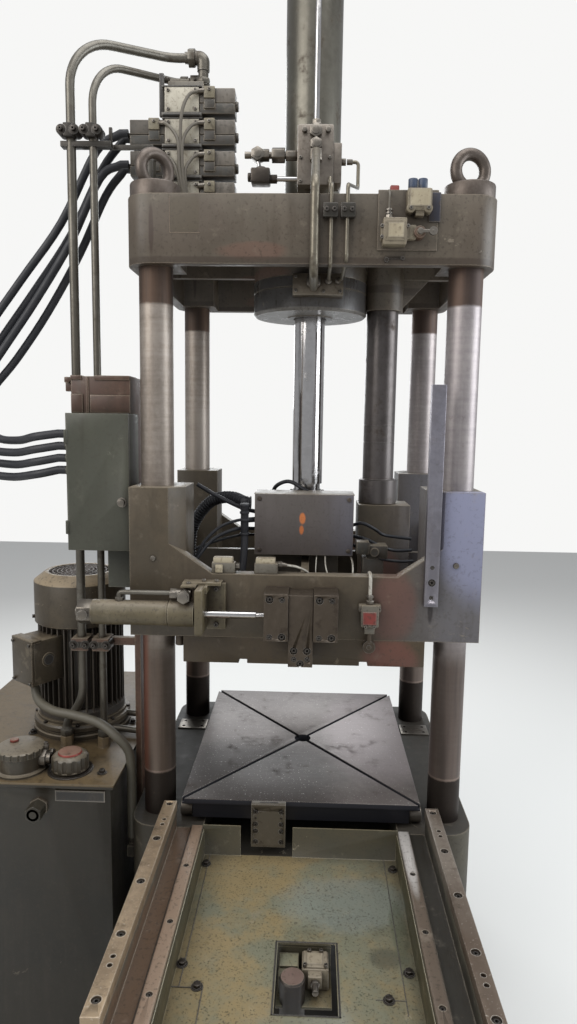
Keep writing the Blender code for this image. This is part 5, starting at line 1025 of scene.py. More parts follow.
def makeCylinder():
    drum = lathe(
        [
            (0, 1.889), (0.15, 1.889), (0.156, 1.895), (0.156, 1.9462), (0.1548, 1.947), (0.1548, 1.9482),
            (0.156, 1.949), (0.156, 1.977), (0, 1.977),
        ],
        sides=96,
    )
    lip = lathe(
        [(0.046, 1.8862), (0.062, 1.8862), (0.064, 1.8885), (0.064, 1.8895), (0.044, 1.8895), (0.044, 1.8862)],
        sides=64,
    )
    standIn([drum, lip], "drumPaint", "cylinder_flange", "cylinder_drum")
    port = block((-0.044, -0.192, 1.92), (0.084, -0.11, 1.973), 0.002)
    show(port, "cylinder_port_block", "portSteel", "cylinder_flange")
    fittings = [
        hexNut((0.009, -0.192, 1.951), ("y", -0.212), 0.034), bar((0.009, -0.2, 1.951), ("y", -0.218), 0.012),
        hexNut((0.046, -0.192, 1.953), ("y", -0.206), 0.016), hexNut((0.07, -0.192, 1.953), ("y", -0.206), 0.014),
        *screwsAt(
            0.008,
            [(-0.036, -0.192, 1.964), (-0.036, -0.192, 1.93), (0.076, -0.192, 1.928), (0.034, -0.192, 1.928)],
            toFront,
        ),
    ]
    show(fittings, "cylinder_port_fittings", "plainSteel", "cylinder_flange")
    barrel = lathe([(0, 1.9775), (0.075, 1.9775), (0.075, 2.742), (0, 2.742)], sides=128)
    weld = lathe([(0.074, 1.9773), (0.081, 1.9773), (0.08, 1.9815), (0.076, 1.985), (0.074, 1.985)], sides=96)
    standIn([barrel, weld], "barrelSteel", "cylinder_barrel")
    cap = lathe(
        [
            (0, 2.7423), (0.0895, 2.7423), (0.091, 2.7438), (0.091, 2.788), (0.0868, 2.7923), (0.03, 2.7923),
            (0.03, 2.7935), (0, 2.7935),
        ],
        sides=96,
    )
    plug = lathe(
        [(0, 2.79), (0.026, 2.79), (0.026, 2.8115), (0.0235, 2.8143), (0.012, 2.8143), (0.01, 2.808), (0, 2.808)],
        sides=48,
    )
    screws8 = screwsAt(0.016, ringOf(0, 0, 0.0715, 2.7923, evenAngles(8, 0.3)), upwards)
    standIn([cap, plug], "drumPaint", "cylinder_cap")
    show(screws8, "cylinder_cap_screws", "darkSteel", "cylinder_cap")


def makeRam():
    rod = lathe([(0, 1.429), (0.0425, 1.429), (0.0425, 2.25), (0, 2.25)], sides=96)
    neck = lathe([(0, 1.392), (0.037, 1.392), (0.037, 1.4295), (0, 1.4295)], sides=64)
    standIn([rod, neck], "chrome", "piston_rod")
    foot = lathe(
        [(0.036, 1.3913), (0.0505, 1.3913), (0.052, 1.3928), (0.052, 1.4038), (0.0505, 1.4053), (0.036, 1.4053)],
        sides=64,
    )
    ring = screwsAt(0.008, ringOf(0, 0, 0.0445, 1.4053, evenAngles(10)), upwards)
    show([foot, *ring], "piston_rod_foot", "darkSteel", "piston_rod")


def makeTailTube():
    tube = lathe(
        [
            (0, 1.3755), (0.0435, 1.3755), (0.0435, 1.548), (0.0428, 1.5486), (0.0428, 1.5496), (0.0435, 1.5502),
            (0.0435, 1.596), (0.0428, 1.5966), (0.0428, 1.5976), (0.0435, 1.5982), (0.0435, 2.2003), (0, 2.2003),
        ],
        (0.202, 0, 0), sides=80,
    )
    collar = lathe(
        [(0.042, 1.3755), (0.052, 1.3755), (0.0535, 1.377), (0.0535, 1.4425), (0.0505, 1.4453), (0.042, 1.4453)],
        (0.202, 0, 0), sides=80,
    )
    standIn([tube, collar], "tailSteel", "tail_tube")


makeCylinder()
makeRam()
makeTailTube()
print("cylinder made")

# Main valve block and its pipes

valveBlock = {"front": -0.1503, "back": -0.0753, "middle": -0.113}


def makeValveBlock():
    front, back, middle = valveBlock["front"], valveBlock["back"], valveBlock["middle"]
    body = [
        block((-0.038, front, 2.197), (0.053, back, 2.341), 0.0025),
        block((0.05, front + 0.006, 2.203), (0.074, back - 0.002, 2.3), 0.002),
        block((-0.034, front + 0.004, 2.338), (0.049, back - 0.004, 2.343), 0.001),
    ]
    standIn(body, "brightSteel", "valve_block")
    fittings = [
        bar((0.009, middle, 2.34), ("z", 2.354), 0.016, width=0.001),
        hexNut((0.009, middle, 2.352), ("z", 2.366), 0.022),
        hexNut((0.008, front + 0.002, 2.325), ("y", front - 0.01), 0.03),
        bar((0.008, front, 2.325), ("y", front - 0.014), 0.011, width=0.001),
        hexNut((0.009, front + 0.002, 2.293), ("y", front - 0.012), 0.028),
        bar((0.009, front, 2.293), ("y", front - 0.016), 0.01, width=0.001),
        bar((-0.021, front, 2.327), ("y", front - 0.01), 0.0065, width=0.001),
        bar((0.039, front, 2.327), ("y", front - 0.01), 0.0065, width=0.001),
        bar((0.009, front + 0.002, 2.26), ("y", front - 0.026), 0.0125),
        hexNut((0.009, front - 0.022, 2.273), ("z", 2.246), 0.03),
        *screwsAt(
            0.008, [(-0.03, front, 2.205), (-0.03, front, 2.262), (0.044, front, 2.205), (0.044, front, 2.262)],
            toFront,
        ),
        hexNut((0.073, middle, 2.264), ("x", 0.086), 0.016), hexNut((0.0885, middle, 2.264), ("x", 0.103), 0.013),
    ]
    show(fittings, "valve_block_fittings", "plainSteel", "valve_block")
    arm = [
        bar((-0.036, middle, 2.28), ("x", -0.174), 0.0085), hexNut((-0.036, middle, 2.28), ("x", -0.069), 0.024),
        hexNut((-0.0705, middle, 2.28), ("x", -0.104), 0.034), hexNut((-0.111, middle, 2.28), ("x", -0.136), 0.028),
        hexNut((-0.1405, middle - 0.018, 2.28), ("y", middle + 0.018), 0.031),
        bar((-0.1405, middle - 0.022, 2.28), ("y", middle - 0.016), 0.011, width=0.001),
    ]
    show(arm, "valve_block_arm", "plainSteel", "valve_block")
    pilot = [
        block((-0.157, middle - 0.024, 2.208), (-0.108, middle + 0.024, 2.244), 0.004),
        bar((-0.132, middle, 2.24), ("z", 2.25), 0.013, width=0.001),
        hexNut((-0.109, middle, 2.222), ("x", -0.09), 0.02),
        bar((-0.157, middle, 2.226), ("x", -0.166), 0.011, width=0.002),
    ]
    show(pilot, "valve_block_pilot", "darkSteel", "valve_block")
    lines = [
        pipe(bentLine([(-0.1405, middle - 0.004, 2.272), (-0.128, middle - 0.004, 2.214)], 0.01), 0.0048),
        pipe(bentLine([(-0.1, middle, 2.222), (-0.03, middle, 2.222)], 0.01), 0.0065),
    ]
    show(lines, "valve_block_lines", "chrome", "valve_block")
    riser = pipe(bentLine([(0.009, middle, 2.35), (0.009, middle, 2.7), (0.009, -0.074, 2.7)], 0.03), 0.0075)
    port = hexNut((0.009, middle + 0.022, 2.7), ("y", -0.073), 0.022)
    show([riser, port], "valve_block_riser", "chrome", "valve_block")


makeValveBlock()
print("valve block made")

# Limit switches on the crosshead


def makeHeadSwitches():
    plate = block((0.15, -0.3705, 1.987), (0.284, -0.3656, 2.117), 0.001)
    wing = block((0.262, -0.3745, 2.047), (0.289, -0.366, 2.112), 0.003)
    standIn(plate, "headPaint", "head_switches", "head_switches_plate")
    show(wing, "head_switches_wing", "navyPaint", "head_switches")
    bodies = [
        block((0.16, -0.404, 1.992), (0.212, -0.37, 2.05), 0.003),
        block((0.164, -0.406, 2.0), (0.208, -0.403, 2.044), 0.0015),
        block((0.155, -0.399, 2.003), (0.217, -0.374, 2.038), 0.004),
        block((0.209, -0.393, 2.006), (0.234, -0.372, 2.037), 0.003),
        block((0.211, -0.404, 2.064), (0.265, -0.37, 2.112), 0.004),
        block((0.23, -0.399, 2.054), (0.249, -0.374, 2.068), 0.002),
        bar((0.219, -0.4045, 2.069), ("y", -0.376), 0.0095, width=0.001),
        bar((0.257, -0.4045, 2.069), ("y", -0.376), 0.0095, width=0.001),
    ]
    show(bodies, "head_switches_bodies", "switchPaint", "head_switches")
    labels = [
        block((0.1712, -0.4066, 2.007), (0.205, -0.405, 2.038), 0.0005, 1),
        block((0.2165, -0.4052, 2.073), (0.2615, -0.4032, 2.1095), 0.0005, 1),
    ]
    show(labels, "head_switches_covers", "creamPaint", "head_switches")
    caps = [
        bar((0.2235, -0.388, 2.108), ("z", 2.134), 0.0105, width=0.002),
        bar((0.245, -0.388, 2.108), ("z", 2.134), 0.0105, width=0.002),
    ]
    show(caps, "head_switches_caps", "bluePlastic", "head_switches")
    gland = [
        hexNut((0.1735, -0.388, 2.048), ("z", 2.058), 0.015),
        bar((0.1735, -0.388, 2.055), ("z", 2.072), 0.0062, width=0.001),
        bar((0.1735, -0.388, 2.06), ("z", 2.0625), 0.0085), bar((0.1735, -0.388, 2.067), ("z", 2.0695), 0.0085),
    ]
    screws4 = screwsAt(
        0.008,
        [
            (0.1575, -0.399, 2.032), (0.1575, -0.399, 2.009), (0.2145, -0.399, 2.032), (0.219, -0.4045, 2.069),
            (0.257, -0.4045, 2.069),
        ],
        toFront,
    )
    show([*gland, *screws4], "head_switches_gland", "plainSteel", "head_switches")
    boss = [
        bar((0.241, -0.401, 2.02), ("y", -0.37), 0.013, width=0.0015),
        hexNut((0.241, -0.4045, 2.02), ("y", -0.399), 0.012),
    ]
    show(boss, "head_switches_pivot", "rustPaint", "head_switches")
    lead = pipe(
        bentLine(
            [(0.1735, -0.388, 2.066), (0.1735, -0.388, 2.104), (0.1755, -0.35, 2.122), (0.176, -0.26, 2.1225)],
            0.014,
        ),
        0.0028,
    )
    show(lead, "head_switches_lead", "greyCable", "head_switches")
    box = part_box("switch_lever")
    lever = [
        block((0.236, box[0].y + 0.001, 2.0165), (0.2745, box[0].y + 0.0045, 2.0235), 0.0015),
        bar((0.241, box[0].y, 2.02), ("y", box[0].y + 0.006), 0.0065, width=0.0008),
        lathe(
            [(0.0035, 0), (0.0088, 0), (0.009, 0.0006), (0.009, 0.0066), (0.0088, 0.0072), (0.0035, 0.0072)],
            (0.269, box[0].y + 0.0078, 2.02), toFront, 40,
        ),
        bar((0.269, box[0].y, 2.02), ("y", box[0].y + 0.008), 0.0032, width=0.0004),
    ]
    standIn(lever, "plainSteel", "switch_lever")


makeHeadSwitches()
print("head switches made")

# Valve stack


def facingTilt(middle, degrees):  # a turn about the depth axis through a point
    centre = Matrix.Translation(middle)
    return centre @ Matrix.Rotation(math.radians(degrees), 4, "Y") @ centre.inverted()


valveStack = {"left": -0.382, "right": -0.288, "front": -0.122, "rowPitch": 0.076}


def makeValveStack():
    left, right, front, rowPitch = (valveStack[key] for key in ("left", "right", "front", "rowPitch"))
    core = [
        block((left, -0.062, 2.1105), (right, 0.028, 2.4823), 0.002),
        block((left + 0.004, -0.058, 2.48), (right - 0.04, 0.024, 2.49), 0.002),
    ]
    for row in range(1, 5):
        low, high = 2.1383 + rowPitch * row, 2.1463 + rowPitch * row
        core.append(block((left - 0.002, -0.06, low), (right + 0.002, 0.026, high), 0.001))
    standIn(core, "valvePaint", "valve_manifold", "valve_manifold_core")
    coilCovers, coils, plugs, faces, bars, glands, bolts = [], [], [], [], [], [], []
    for row, z in enumerate((2.1813, 2.2573, 2.3333, 2.4093)):
        faces.append(block((left + 0.003, front, z - 0.028), (right - 0.003, -0.0625, z + 0.032), 0.0015))
        bars.append(block((left - 0.004, front - 0.003, z - 0.0375), (right + 0.004, -0.07, z - 0.029), 0.001))
        bars.append(block((left - 0.004, front - 0.001, z + 0.032), (right + 0.004, -0.075, z + 0.036), 0.001))
        bolts += screwsAt(
            0.008, [(x, front, z + dz) for x in (left + 0.012, right - 0.012) for dz in (-0.021, 0.024)], toFront,
        )
        for side, start in ((1, right), (-1, left)) if row in (1, 2) else ((1, right),):
            far = start + side * 0.094
            near, end = sorted((start - side * 0.002, far - side * 0.006))
            tip = side * 0.034
            for share, low, high in ((coilCovers, -0.0045, 0.031), (coils, -0.031, -0.0055)):
                share.append(block((near, -0.119, z + low), (end, -0.065, z + high), 0.002))
                middle = z + (0.031 if low > -0.01 else -0.031)
                wedge = block(
                    (far - side * 0.052 - 0.045, -0.125, middle - 0.006),
                    (far - side * 0.052 + 0.045, -0.06, middle + 0.006), 0,
                )
                lift = 0.0125 if low > -0.01 else -0.0125
                wedge.matrix_world = Matrix.Translation((tip, 0, lift)) @ facingTilt(
                    (far - side * 0.052, -0.092, middle), side * math.copysign(12, lift),
                )
                share[-1] = cut(share[-1], settle(wedge))
            coils.append(
                bar((far - side * 0.008, -0.092, z - 0.004), ("x", far + side * 0.0015), 0.012, width=0.002)
            )
            near, end = sorted((start + side * 0.01, start + side * 0.038))
            plugs.append(block((near, -0.1275, z + 0.004), (end, -0.11, z + 0.0325), 0.002))
            bolts += screwsAt(0.008, [((near + end) / 2, -0.1275, z + 0.024)], toFront)
            glands.append(
                bar(
                    (near if side > 0 else end, -0.122, z + 0.022),
                    ((near if side > 0 else end) - side * 0.016, -0.128, z + 0.019), 0.0068, 0.0055, width=0.001,
                )
            )
            coils.append(block((near, -0.1245, z - 0.02), (end, -0.118, z + 0.0035), 0.001))
    bars += [block((left - 0.0125, front + 0.01, 2.375), (left - 0.001, front + 0.022, 2.479), 0.001)]
    for row in range(4):
        height = 2.1455 + rowPitch * row
        bars.append(bar((left - 0.002, -0.1245, height), ("x", right + 0.002), 0.0035))
    valves = ("solenoid_valve_1", "solenoid_valve_2", "solenoid_valve_3")
    show(faces, "valve_faces", "palePaint", "solenoid_valve_1", valves)
    show(coilCovers, "valve_coil_covers", "coilPaint", "solenoid_valve_1")
    show(plugs, "valve_plugs", "plugPaint", "solenoid_valve_1")
    show(coils, "valve_coils", "coilDark", "solenoid_valve_2")
    show(bars, "valve_bars", "blackPlate", "valve_manifold")
    show([*glands, *bolts], "valve_glands", "plainSteel", "solenoid_valve_3")
    leads = [
        [
            (-0.292, -0.13, 2.428), (-0.314, -0.136, 2.416), (-0.33, -0.146, 2.372), (-0.334, -0.148, 2.3),
            (-0.329, -0.147, 2.22), (-0.318, -0.14, 2.15), (-0.3, -0.12, 2.1185), (-0.262, -0.105, 2.115),
        ],
        [
            (-0.292, -0.13, 2.352), (-0.31, -0.138, 2.34), (-0.327, -0.147, 2.305), (-0.329, -0.15, 2.24),
            (-0.32, -0.145, 2.16), (-0.306, -0.12, 2.119), (-0.27, -0.096, 2.115),
        ],
        [
            (-0.292, -0.13, 2.276), (-0.308, -0.138, 2.262), (-0.323, -0.146, 2.226), (-0.314, -0.14, 2.155),
            (-0.296, -0.13, 2.119), (-0.258, -0.118, 2.115),
        ],
        [
            (-0.378, -0.13, 2.352), (-0.358, -0.14, 2.334), (-0.34, -0.15, 2.3), (-0.336, -0.152, 2.23),
            (-0.324, -0.146, 2.16), (-0.31, -0.13, 2.119), (-0.276, -0.11, 2.115),
        ],
        [
            (-0.378, -0.13, 2.276), (-0.356, -0.141, 2.256), (-0.341, -0.15, 2.22), (-0.33, -0.144, 2.16),
            (-0.316, -0.124, 2.119), (-0.284, -0.1, 2.115),
        ],
    ]
    show([pipe(smoothLine(lead), 0.0042) for lead in leads], "valve_leads", "greyCable", "valve_manifold")


makeValveStack()
print("valve stack made")

# Slide and what rides on it


def recessed(piece, size, places, direction, depth=0.78):  # cuts a counterbore for each screw and seats it
    direction = Vector(direction)
    cut(
        piece,
        *[
            bar(Vector(place) + direction * 0.004, Vector(place) - direction * size * depth, size * 0.62, sides=28)
            for place in places
        ],
    )
    return screwsAt(size, [Vector(place) - direction * size * (depth - 0.02) for place in places], direction)


def makeSlide():
    standIn(dressed("slide_frame", 0.0028, 2), "slidePaint", "slide_frame")
    plugs = [
        bar((x, -0.3795, z), ("y", -0.3855), 0.0075, 0.006, width=0.0015)
        for x, z in ((-0.3615, 1.275), (0.3561, 1.271))
    ]
    plugs += [
        bar((x, 0.3795, z), ("y", 0.3855), 0.0075, 0.006, width=0.0015) for x, z in ((-0.36, 1.275), (0.36, 1.275))
    ]
    show(plugs, "slide_plugs", "plainSteel", "slide_frame")
    front = block((-0.134, -0.2, 1.2553), (0.124, -0.1935, 1.4158), 0.0015)
    case = block((-0.132, -0.1945, 1.2573), (0.122, -0.0903, 1.4138), 0.003)
    rim = block((-0.136, -0.1965, 1.414), (0.126, -0.0903, 1.4162), 0.001)
    standIn([front, case, rim], "boxPaint", "junction_box")
    lid = [
        bar((x, -0.2, z), ("y", -0.203), 0.0062, 0.0055, width=0.001)
        for x in (-0.122, 0.112)
        for z in (1.268, 1.403)
    ]
    show(lid, "junction_box_screws", "nutSteel", "junction_box")


def makeSlideWiring():
    switches = [block((x, -0.374, 1.2395), (x + 0.056, -0.346, 1.266), 0.0025) for x in (-0.222, -0.12)]
    show(switches, "slide_edge_switches", "valvePaint", "slide_frame")
    tops = [block((x + 0.003, -0.372, 1.264), (x + 0.05, -0.348, 1.278), 0.0025) for x in (-0.222, -0.12)]
    tops += [block((-0.213, -0.379, 1.242), (-0.195, -0.373, 1.262), 0.002)]
    show(tops, "slide_edge_switch_covers", "creamPaint", "slide_frame")
    glands = [
        hexNut((-0.166, -0.36, 1.256), ("x", -0.156), 0.014), hexNut((-0.0645, -0.36, 1.262), ("x", -0.054), 0.014),
        bar((-0.056, -0.36, 1.262), (-0.042, -0.36, 1.26), 0.0062, 0.0048),
    ]
    show(glands, "slide_edge_glands", "plainSteel", "slide_frame")
    breather = [
        bar((-0.16, -0.2, 1.306), ("z", 1.386), 0.0105, width=0.002),
        bar((-0.16, -0.2, 1.372), ("z", 1.39), 0.0125, width=0.003),
        bar((-0.16, -0.2, 1.306), ("z", 1.313), 0.0125, width=0.0015),
        bar((-0.16, -0.2, 1.345), (-0.133, -0.18, 1.345), 0.007),
    ]
    breather += [bar((-0.16, -0.205, z), ("z", z + 0.006), 0.0125, width=0.001) for z in (1.344, 1.363, 1.382)]
    breather.append(
        pipe(
            smoothLine(
                [
                    (-0.16, -0.2, 1.31), (-0.16, -0.203, 1.28), (-0.163, -0.21, 1.23), (-0.172, -0.22, 1.17),
                    (-0.185, -0.23, 1.126),
                ]
            ),
            0.0095,
        )
    )
    show(breather, "slide_breather", "blackRubber", "slide_frame")
    cables = [
        (0.0055, (-0.134, -0.15, 1.362), (-0.17, -0.17, 1.374), (-0.24, -0.18, 1.408), (-0.287, -0.185, 1.436)),
        (
            0.004, (-0.134, -0.17, 1.34), (-0.165, -0.19, 1.346), (-0.22, -0.215, 1.33), (-0.262, -0.24, 1.29),
            (-0.285, -0.25, 1.24),
        ),
        (
            0.0045, (-0.134, -0.16, 1.318), (-0.18, -0.2, 1.322), (-0.235, -0.225, 1.3), (-0.27, -0.25, 1.262),
            (-0.287, -0.26, 1.23),
        ),
        (0.0035, (-0.134, -0.15, 1.3), (-0.175, -0.18, 1.302), (-0.23, -0.2, 1.29), (-0.287, -0.21, 1.27)),
        (
            0.0055, (0.03, -0.13, 1.395), (-0.01, -0.09, 1.42), (-0.05, -0.07, 1.438), (-0.085, -0.06, 1.424),
            (-0.1, -0.03, 1.392),
        ),
        (
            0.0045, (0.124, -0.15, 1.33), (0.15, -0.165, 1.338), (0.185, -0.15, 1.32), (0.215, -0.12, 1.3),
            (0.287, -0.11, 1.29),
        ),
        (
            0.0045, (0.124, -0.14, 1.3), (0.16, -0.17, 1.296), (0.2, -0.16, 1.276), (0.24, -0.14, 1.262),
            (0.287, -0.13, 1.262),
        ),
        (
            0.004, (0.124, -0.16, 1.28), (0.15, -0.19, 1.27), (0.2, -0.2, 1.25), (0.25, -0.18, 1.24),
            (0.287, -0.16, 1.238),
        ),
    ]
    show(
        [pipe(smoothLine(route), size) for size, *route in cables], "slide_black_cables", "blackRubber",
        "slide_frame",
    )
    wires = [
        (
            0.0032, (-0.044, -0.36, 1.2602), (-0.02, -0.356, 1.256), (0.004, -0.346, 1.243), (0.018, -0.334, 1.222),
            (0.022, -0.32, 1.18),
        ),
        (
            0.0024, (0.118, -0.18, 1.258), (0.124, -0.215, 1.236), (0.122, -0.24, 1.205), (0.112, -0.255, 1.17),
            (0.1, -0.26, 1.126),
        ),
        (
            0.0018, (0.052, -0.19, 1.256), (0.054, -0.225, 1.23), (0.066, -0.25, 1.195), (0.084, -0.262, 1.16),
            (0.092, -0.27, 1.126),
        ),
        (0.0014, (0.03, -0.19, 1.256), (0.028, -0.22, 1.22), (0.03, -0.24, 1.17), (0.03, -0.25, 1.126)),
    ]
    show(
        [pipe(smoothLine(route), size) for size, *route in wires], "slide_pale_wires", "whitePlastic",
        "slide_frame",
    )
    unit = [
        block((0.132, -0.215, 1.262), (0.166, -0.175, 1.296), 0.003),
        block((0.16, -0.205, 1.25), (0.215, -0.15, 1.285), 0.004), bar((0.18, -0.21, 1.268), ("y", -0.14), 0.011),
        block((0.15, -0.2, 1.126), (0.205, -0.155, 1.252), 0.003),
    ]
    show(unit, "slide_valve_unit", "coilDark", "slide_frame")


def makeLockCylinder():
    y, z = -0.43, 1.155
    tube = [
        lathe(
            [
                (0, -0.4922), (0.029, -0.4922), (0.029, -0.315), (0.0275, -0.3145), (0.0275, -0.3125),
                (0.0305, -0.312), (0.0305, -0.253), (0, -0.253),
            ],
            (0, y, z), (1, 0, 0), 64,
        ),
        block((-0.25, -0.466, 1.112), (-0.23, -0.394, 1.2195), 0.005, 3),
        block((-0.231, -0.3945, 1.1085), (-0.186, -0.3803, 1.2205), 0.002),
        block((-0.285, -0.418, 1.219), (-0.194, -0.3803, 1.226), 0.001),
        block((-0.285, -0.44, 1.218), (-0.25, -0.3803, 1.223), 0.001),
        block((-0.231, -0.44, 1.205), (-0.224, -0.385, 1.221), 0.001),
    ]
    standIn(tube, "lockPaint", "lock_cylinder")
    cap = [
        hexNut((-0.5255, y, z), ("x", -0.4915), 0.052), bar((-0.532, y, z), ("x", -0.524), 0.012, width=0.0015),
        bar((-0.508, y - 0.034, z), ("y", y), 0.0125), hexNut((-0.508, y - 0.036, z), ("y", y - 0.028), 0.021),
        hexNut((-0.31, y - 0.002, 1.2015), ("x", -0.2935), 0.024),
        bar((-0.296, y - 0.002, 1.2015), ("x", -0.262), 0.012),
        hexNut((-0.2753, y - 0.03, 1.2), ("y", y + 0.014), 0.028),
        bar((-0.2753, y - 0.034, 1.2), ("y", y - 0.026), 0.0115, width=0.0015),
        bar((-0.2753, y, 1.18), ("z", 1.2), 0.0135), hexNut((-0.43, y, 1.183), ("z", 1.192), 0.018),
        *screwsAt(
            0.01, [(-0.27, y + 0.012, 1.2215), (-0.236, y + 0.028, 1.2255), (-0.206, y + 0.028, 1.2255)], upwards,
        ),
    ]
    show(cap, "lock_cylinder_fittings", "plainSteel", "lock_cylinder")
    line = pipe(
        bentLine([(-0.305, y - 0.002, 1.2035), (-0.43, y - 0.002, 1.2035), (-0.43, y - 0.002, 1.188)], 0.01), 0.006,
    )
    show(line, "lock_cylinder_line", "pipeSteel", "lock_cylinder")
    bolts = screwsAt(0.012, [(-0.208, -0.3945, 1.208), (-0.208, -0.3945, 1.121)], toFront)
    show(bolts, "lock_cylinder_bolts", "darkSteel", "lock_cylinder")
    low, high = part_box("lock_rod")
    rod = [
        bar((low.x, y, z), ("x", high.x - 0.074), 0.009, sides=40),
        bar((high.x - 0.075, y, z), ("x", high.x), 0.0065, sides=36, width=0.0008),
    ]
    standIn(rod, "chrome", "lock_rod")


def makeGuides():
    for side, x in (("left", -0.0629), ("right", 0.0509)):
        node = f"guide_block_{side}"
        piece = dressed(node, 0.0012, 2)
        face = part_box(node)[0].y
        inset, shift = 0.0148, -0.001
        big = recessed(piece, 0.014, [(x - inset, face, 1.2), (x + inset + shift, face, 1.1125)], toFront)
        small = recessed(piece, 0.01, [(x + inset + shift, face, 1.2), (x - inset, face, 1.1125)], toFront, 0.5)
        standIn(piece, "blockSteel", node)
        show([*big, *small], node + "_screws", "darkSteel", node)
    piece = dressed("centre_bar", 0.0012, 2)
    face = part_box("centre_bar")[0].y
    big = recessed(piece, 0.014, [(-0.0212, face, 1.079), (0.0095, face, 1.079), (-0.006, face, 1.0486)], toFront)
    small = recessed(piece, 0.01, [(-0.0208, face, 1.059), (0.01, face, 1.059)], toFront, 0.5)
    standIn(piece, "blockSteel", "centre_bar")
    show([*big, *small], "centre_bar_screws", "darkSteel", "centre_bar")
    piece = dressed("cam_bar", 0.001, 2)
    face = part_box("cam_bar")[0].y
    big = recessed(piece, 0.014, [(0.298, face, 1.233)], toFront, 0.6)
    small = recessed(piece, 0.008, [(0.298, face, 1.269), (0.298, face, 1.1975)], toFront, 0.6)
    standIn(piece, "camSteel", "cam_bar")
    show([*big, *small], "cam_bar_screws", "darkSteel", "cam_bar")


def makeSlideSwitch():
    body = [
        block((0.1345, -0.411, 1.1255), (0.1765, -0.3803, 1.178), 0.003),
        block((0.129, -0.401, 1.1585), (0.182, -0.3803, 1.1775), 0.004),
        block((0.1435, -0.406, 1.108), (0.1675, -0.383, 1.1275), 0.002),
    ]
    standIn(body, "valvePaint", "slide_switch")
    label = block((0.1385, -0.4128, 1.132), (0.1705, -0.4105, 1.163), 0.0006, 1)
    show(label, "slide_switch_cover", "redPlate", "slide_switch")
    metal = [
        hexNut((0.1555, -0.395, 1.1775), ("z", 1.188), 0.017),
        bar((0.1555, -0.395, 1.186), ("z", 1.2), 0.0068, width=0.001),
        bar((0.1555, -0.395, 1.1955), ("z", 1.1985), 0.009),
    ]
    metal += screwsAt(
        0.008,
        [(0.134, -0.401, 1.168), (0.1775, -0.401, 1.168), (0.1455, -0.411, 1.1285), (0.1655, -0.411, 1.1285)],
        toFront,
    )
    show(metal, "slide_switch_gland", "plainSteel", "slide_switch")
    lead = pipe(
        bentLine(
            [
                (0.1555, -0.395, 1.198), (0.1555, -0.395, 1.2475), (0.1555, -0.36, 1.2475), (0.15, -0.33, 1.2),
                (0.145, -0.32, 1.13),
            ],
            0.012,
        ),
        0.0042,
    )
    show(lead, "slide_switch_lead", "whitePlastic", "slide_switch")
    low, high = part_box("slide_switch_plunger")
    mid, y = (low + high) / 2, (low.y + high.y) / 2
    roller = [
        lathe(
            [(0.004, 0), (0.0146, 0), (0.015, 0.0006), (0.015, 0.0112), (0.0146, 0.0118), (0.004, 0.0118)],
            (mid.x, y + 0.0059, 1.075), toFront, 48,
        ),
        bar((mid.x, y + 0.008, 1.075), ("y", y - 0.008), 0.0052, width=0.0006),
        bar((mid.x, y, 1.085), ("z", high.z), 0.007),
    ]
    standIn(roller, "blockSteel", "slide_switch_plunger")


makeSlide()
makeSlideWiring()
makeLockCylinder()
makeGuides()
makeSlideSwitch()
print("slide made")

# Oil pipes, their clamps and the bracket

oilPipes = {
    "oil_pipe_1": {
        "radius": 0.01125, "bend": 0.125,
        "route": [
            (-0.3225, -0.0395, 2.5483), (-0.38, -0.0395, 2.5483), (-0.59, -0.2155, 2.513),
            (-0.592, -0.2155, 0.8553), (-0.6387, -0.2155, 0.7853), (-0.6387, -0.2155, 0.7503),
        ],
    },
    "oil_pipe_2": {
        "radius": 0.0095, "bend": 0.115,
        "route": [
            (-0.3325, 0.005, 2.508), (-0.37, 0.005, 2.508), (-0.536, -0.2155, 2.456), (-0.537, -0.2155, 0.7503),
        ],
    },
}
clampSizes = {"half": 0.0215, "front": -0.2378, "back": -0.202, "pipes": (-0.592, -0.537)}


def makeClamps(name, low, high, slot):
    size = clampSizes
    halves, bolts, middle = [], [], (low + high) / 2
    for x in size["pipes"]:
        for near, far in ((size["front"], -0.217), (-0.2145, size["back"])):
            halves.append(
                block(
                    (x - size["half"] * 0.55, near, low + 0.004), (x + size["half"] * 0.55, far, high - 0.004),
                    0.003, 3,
                )
            )
        for side in (-1, 1):
            eye = (x + side * 0.0158, size["front"] - 0.0005, middle)
            halves.append(bar((eye[0], size["front"] - 0.001, middle), ("y", size["back"]), 0.0125, width=0.002))
            bolts.append(eye)
    show(halves, name, "clampSteel", slot)
    show(screwsAt(0.012, [(x, y - 0.0015, z) for x, y, z in bolts], toFront), name + "_screws", "darkSteel", slot)


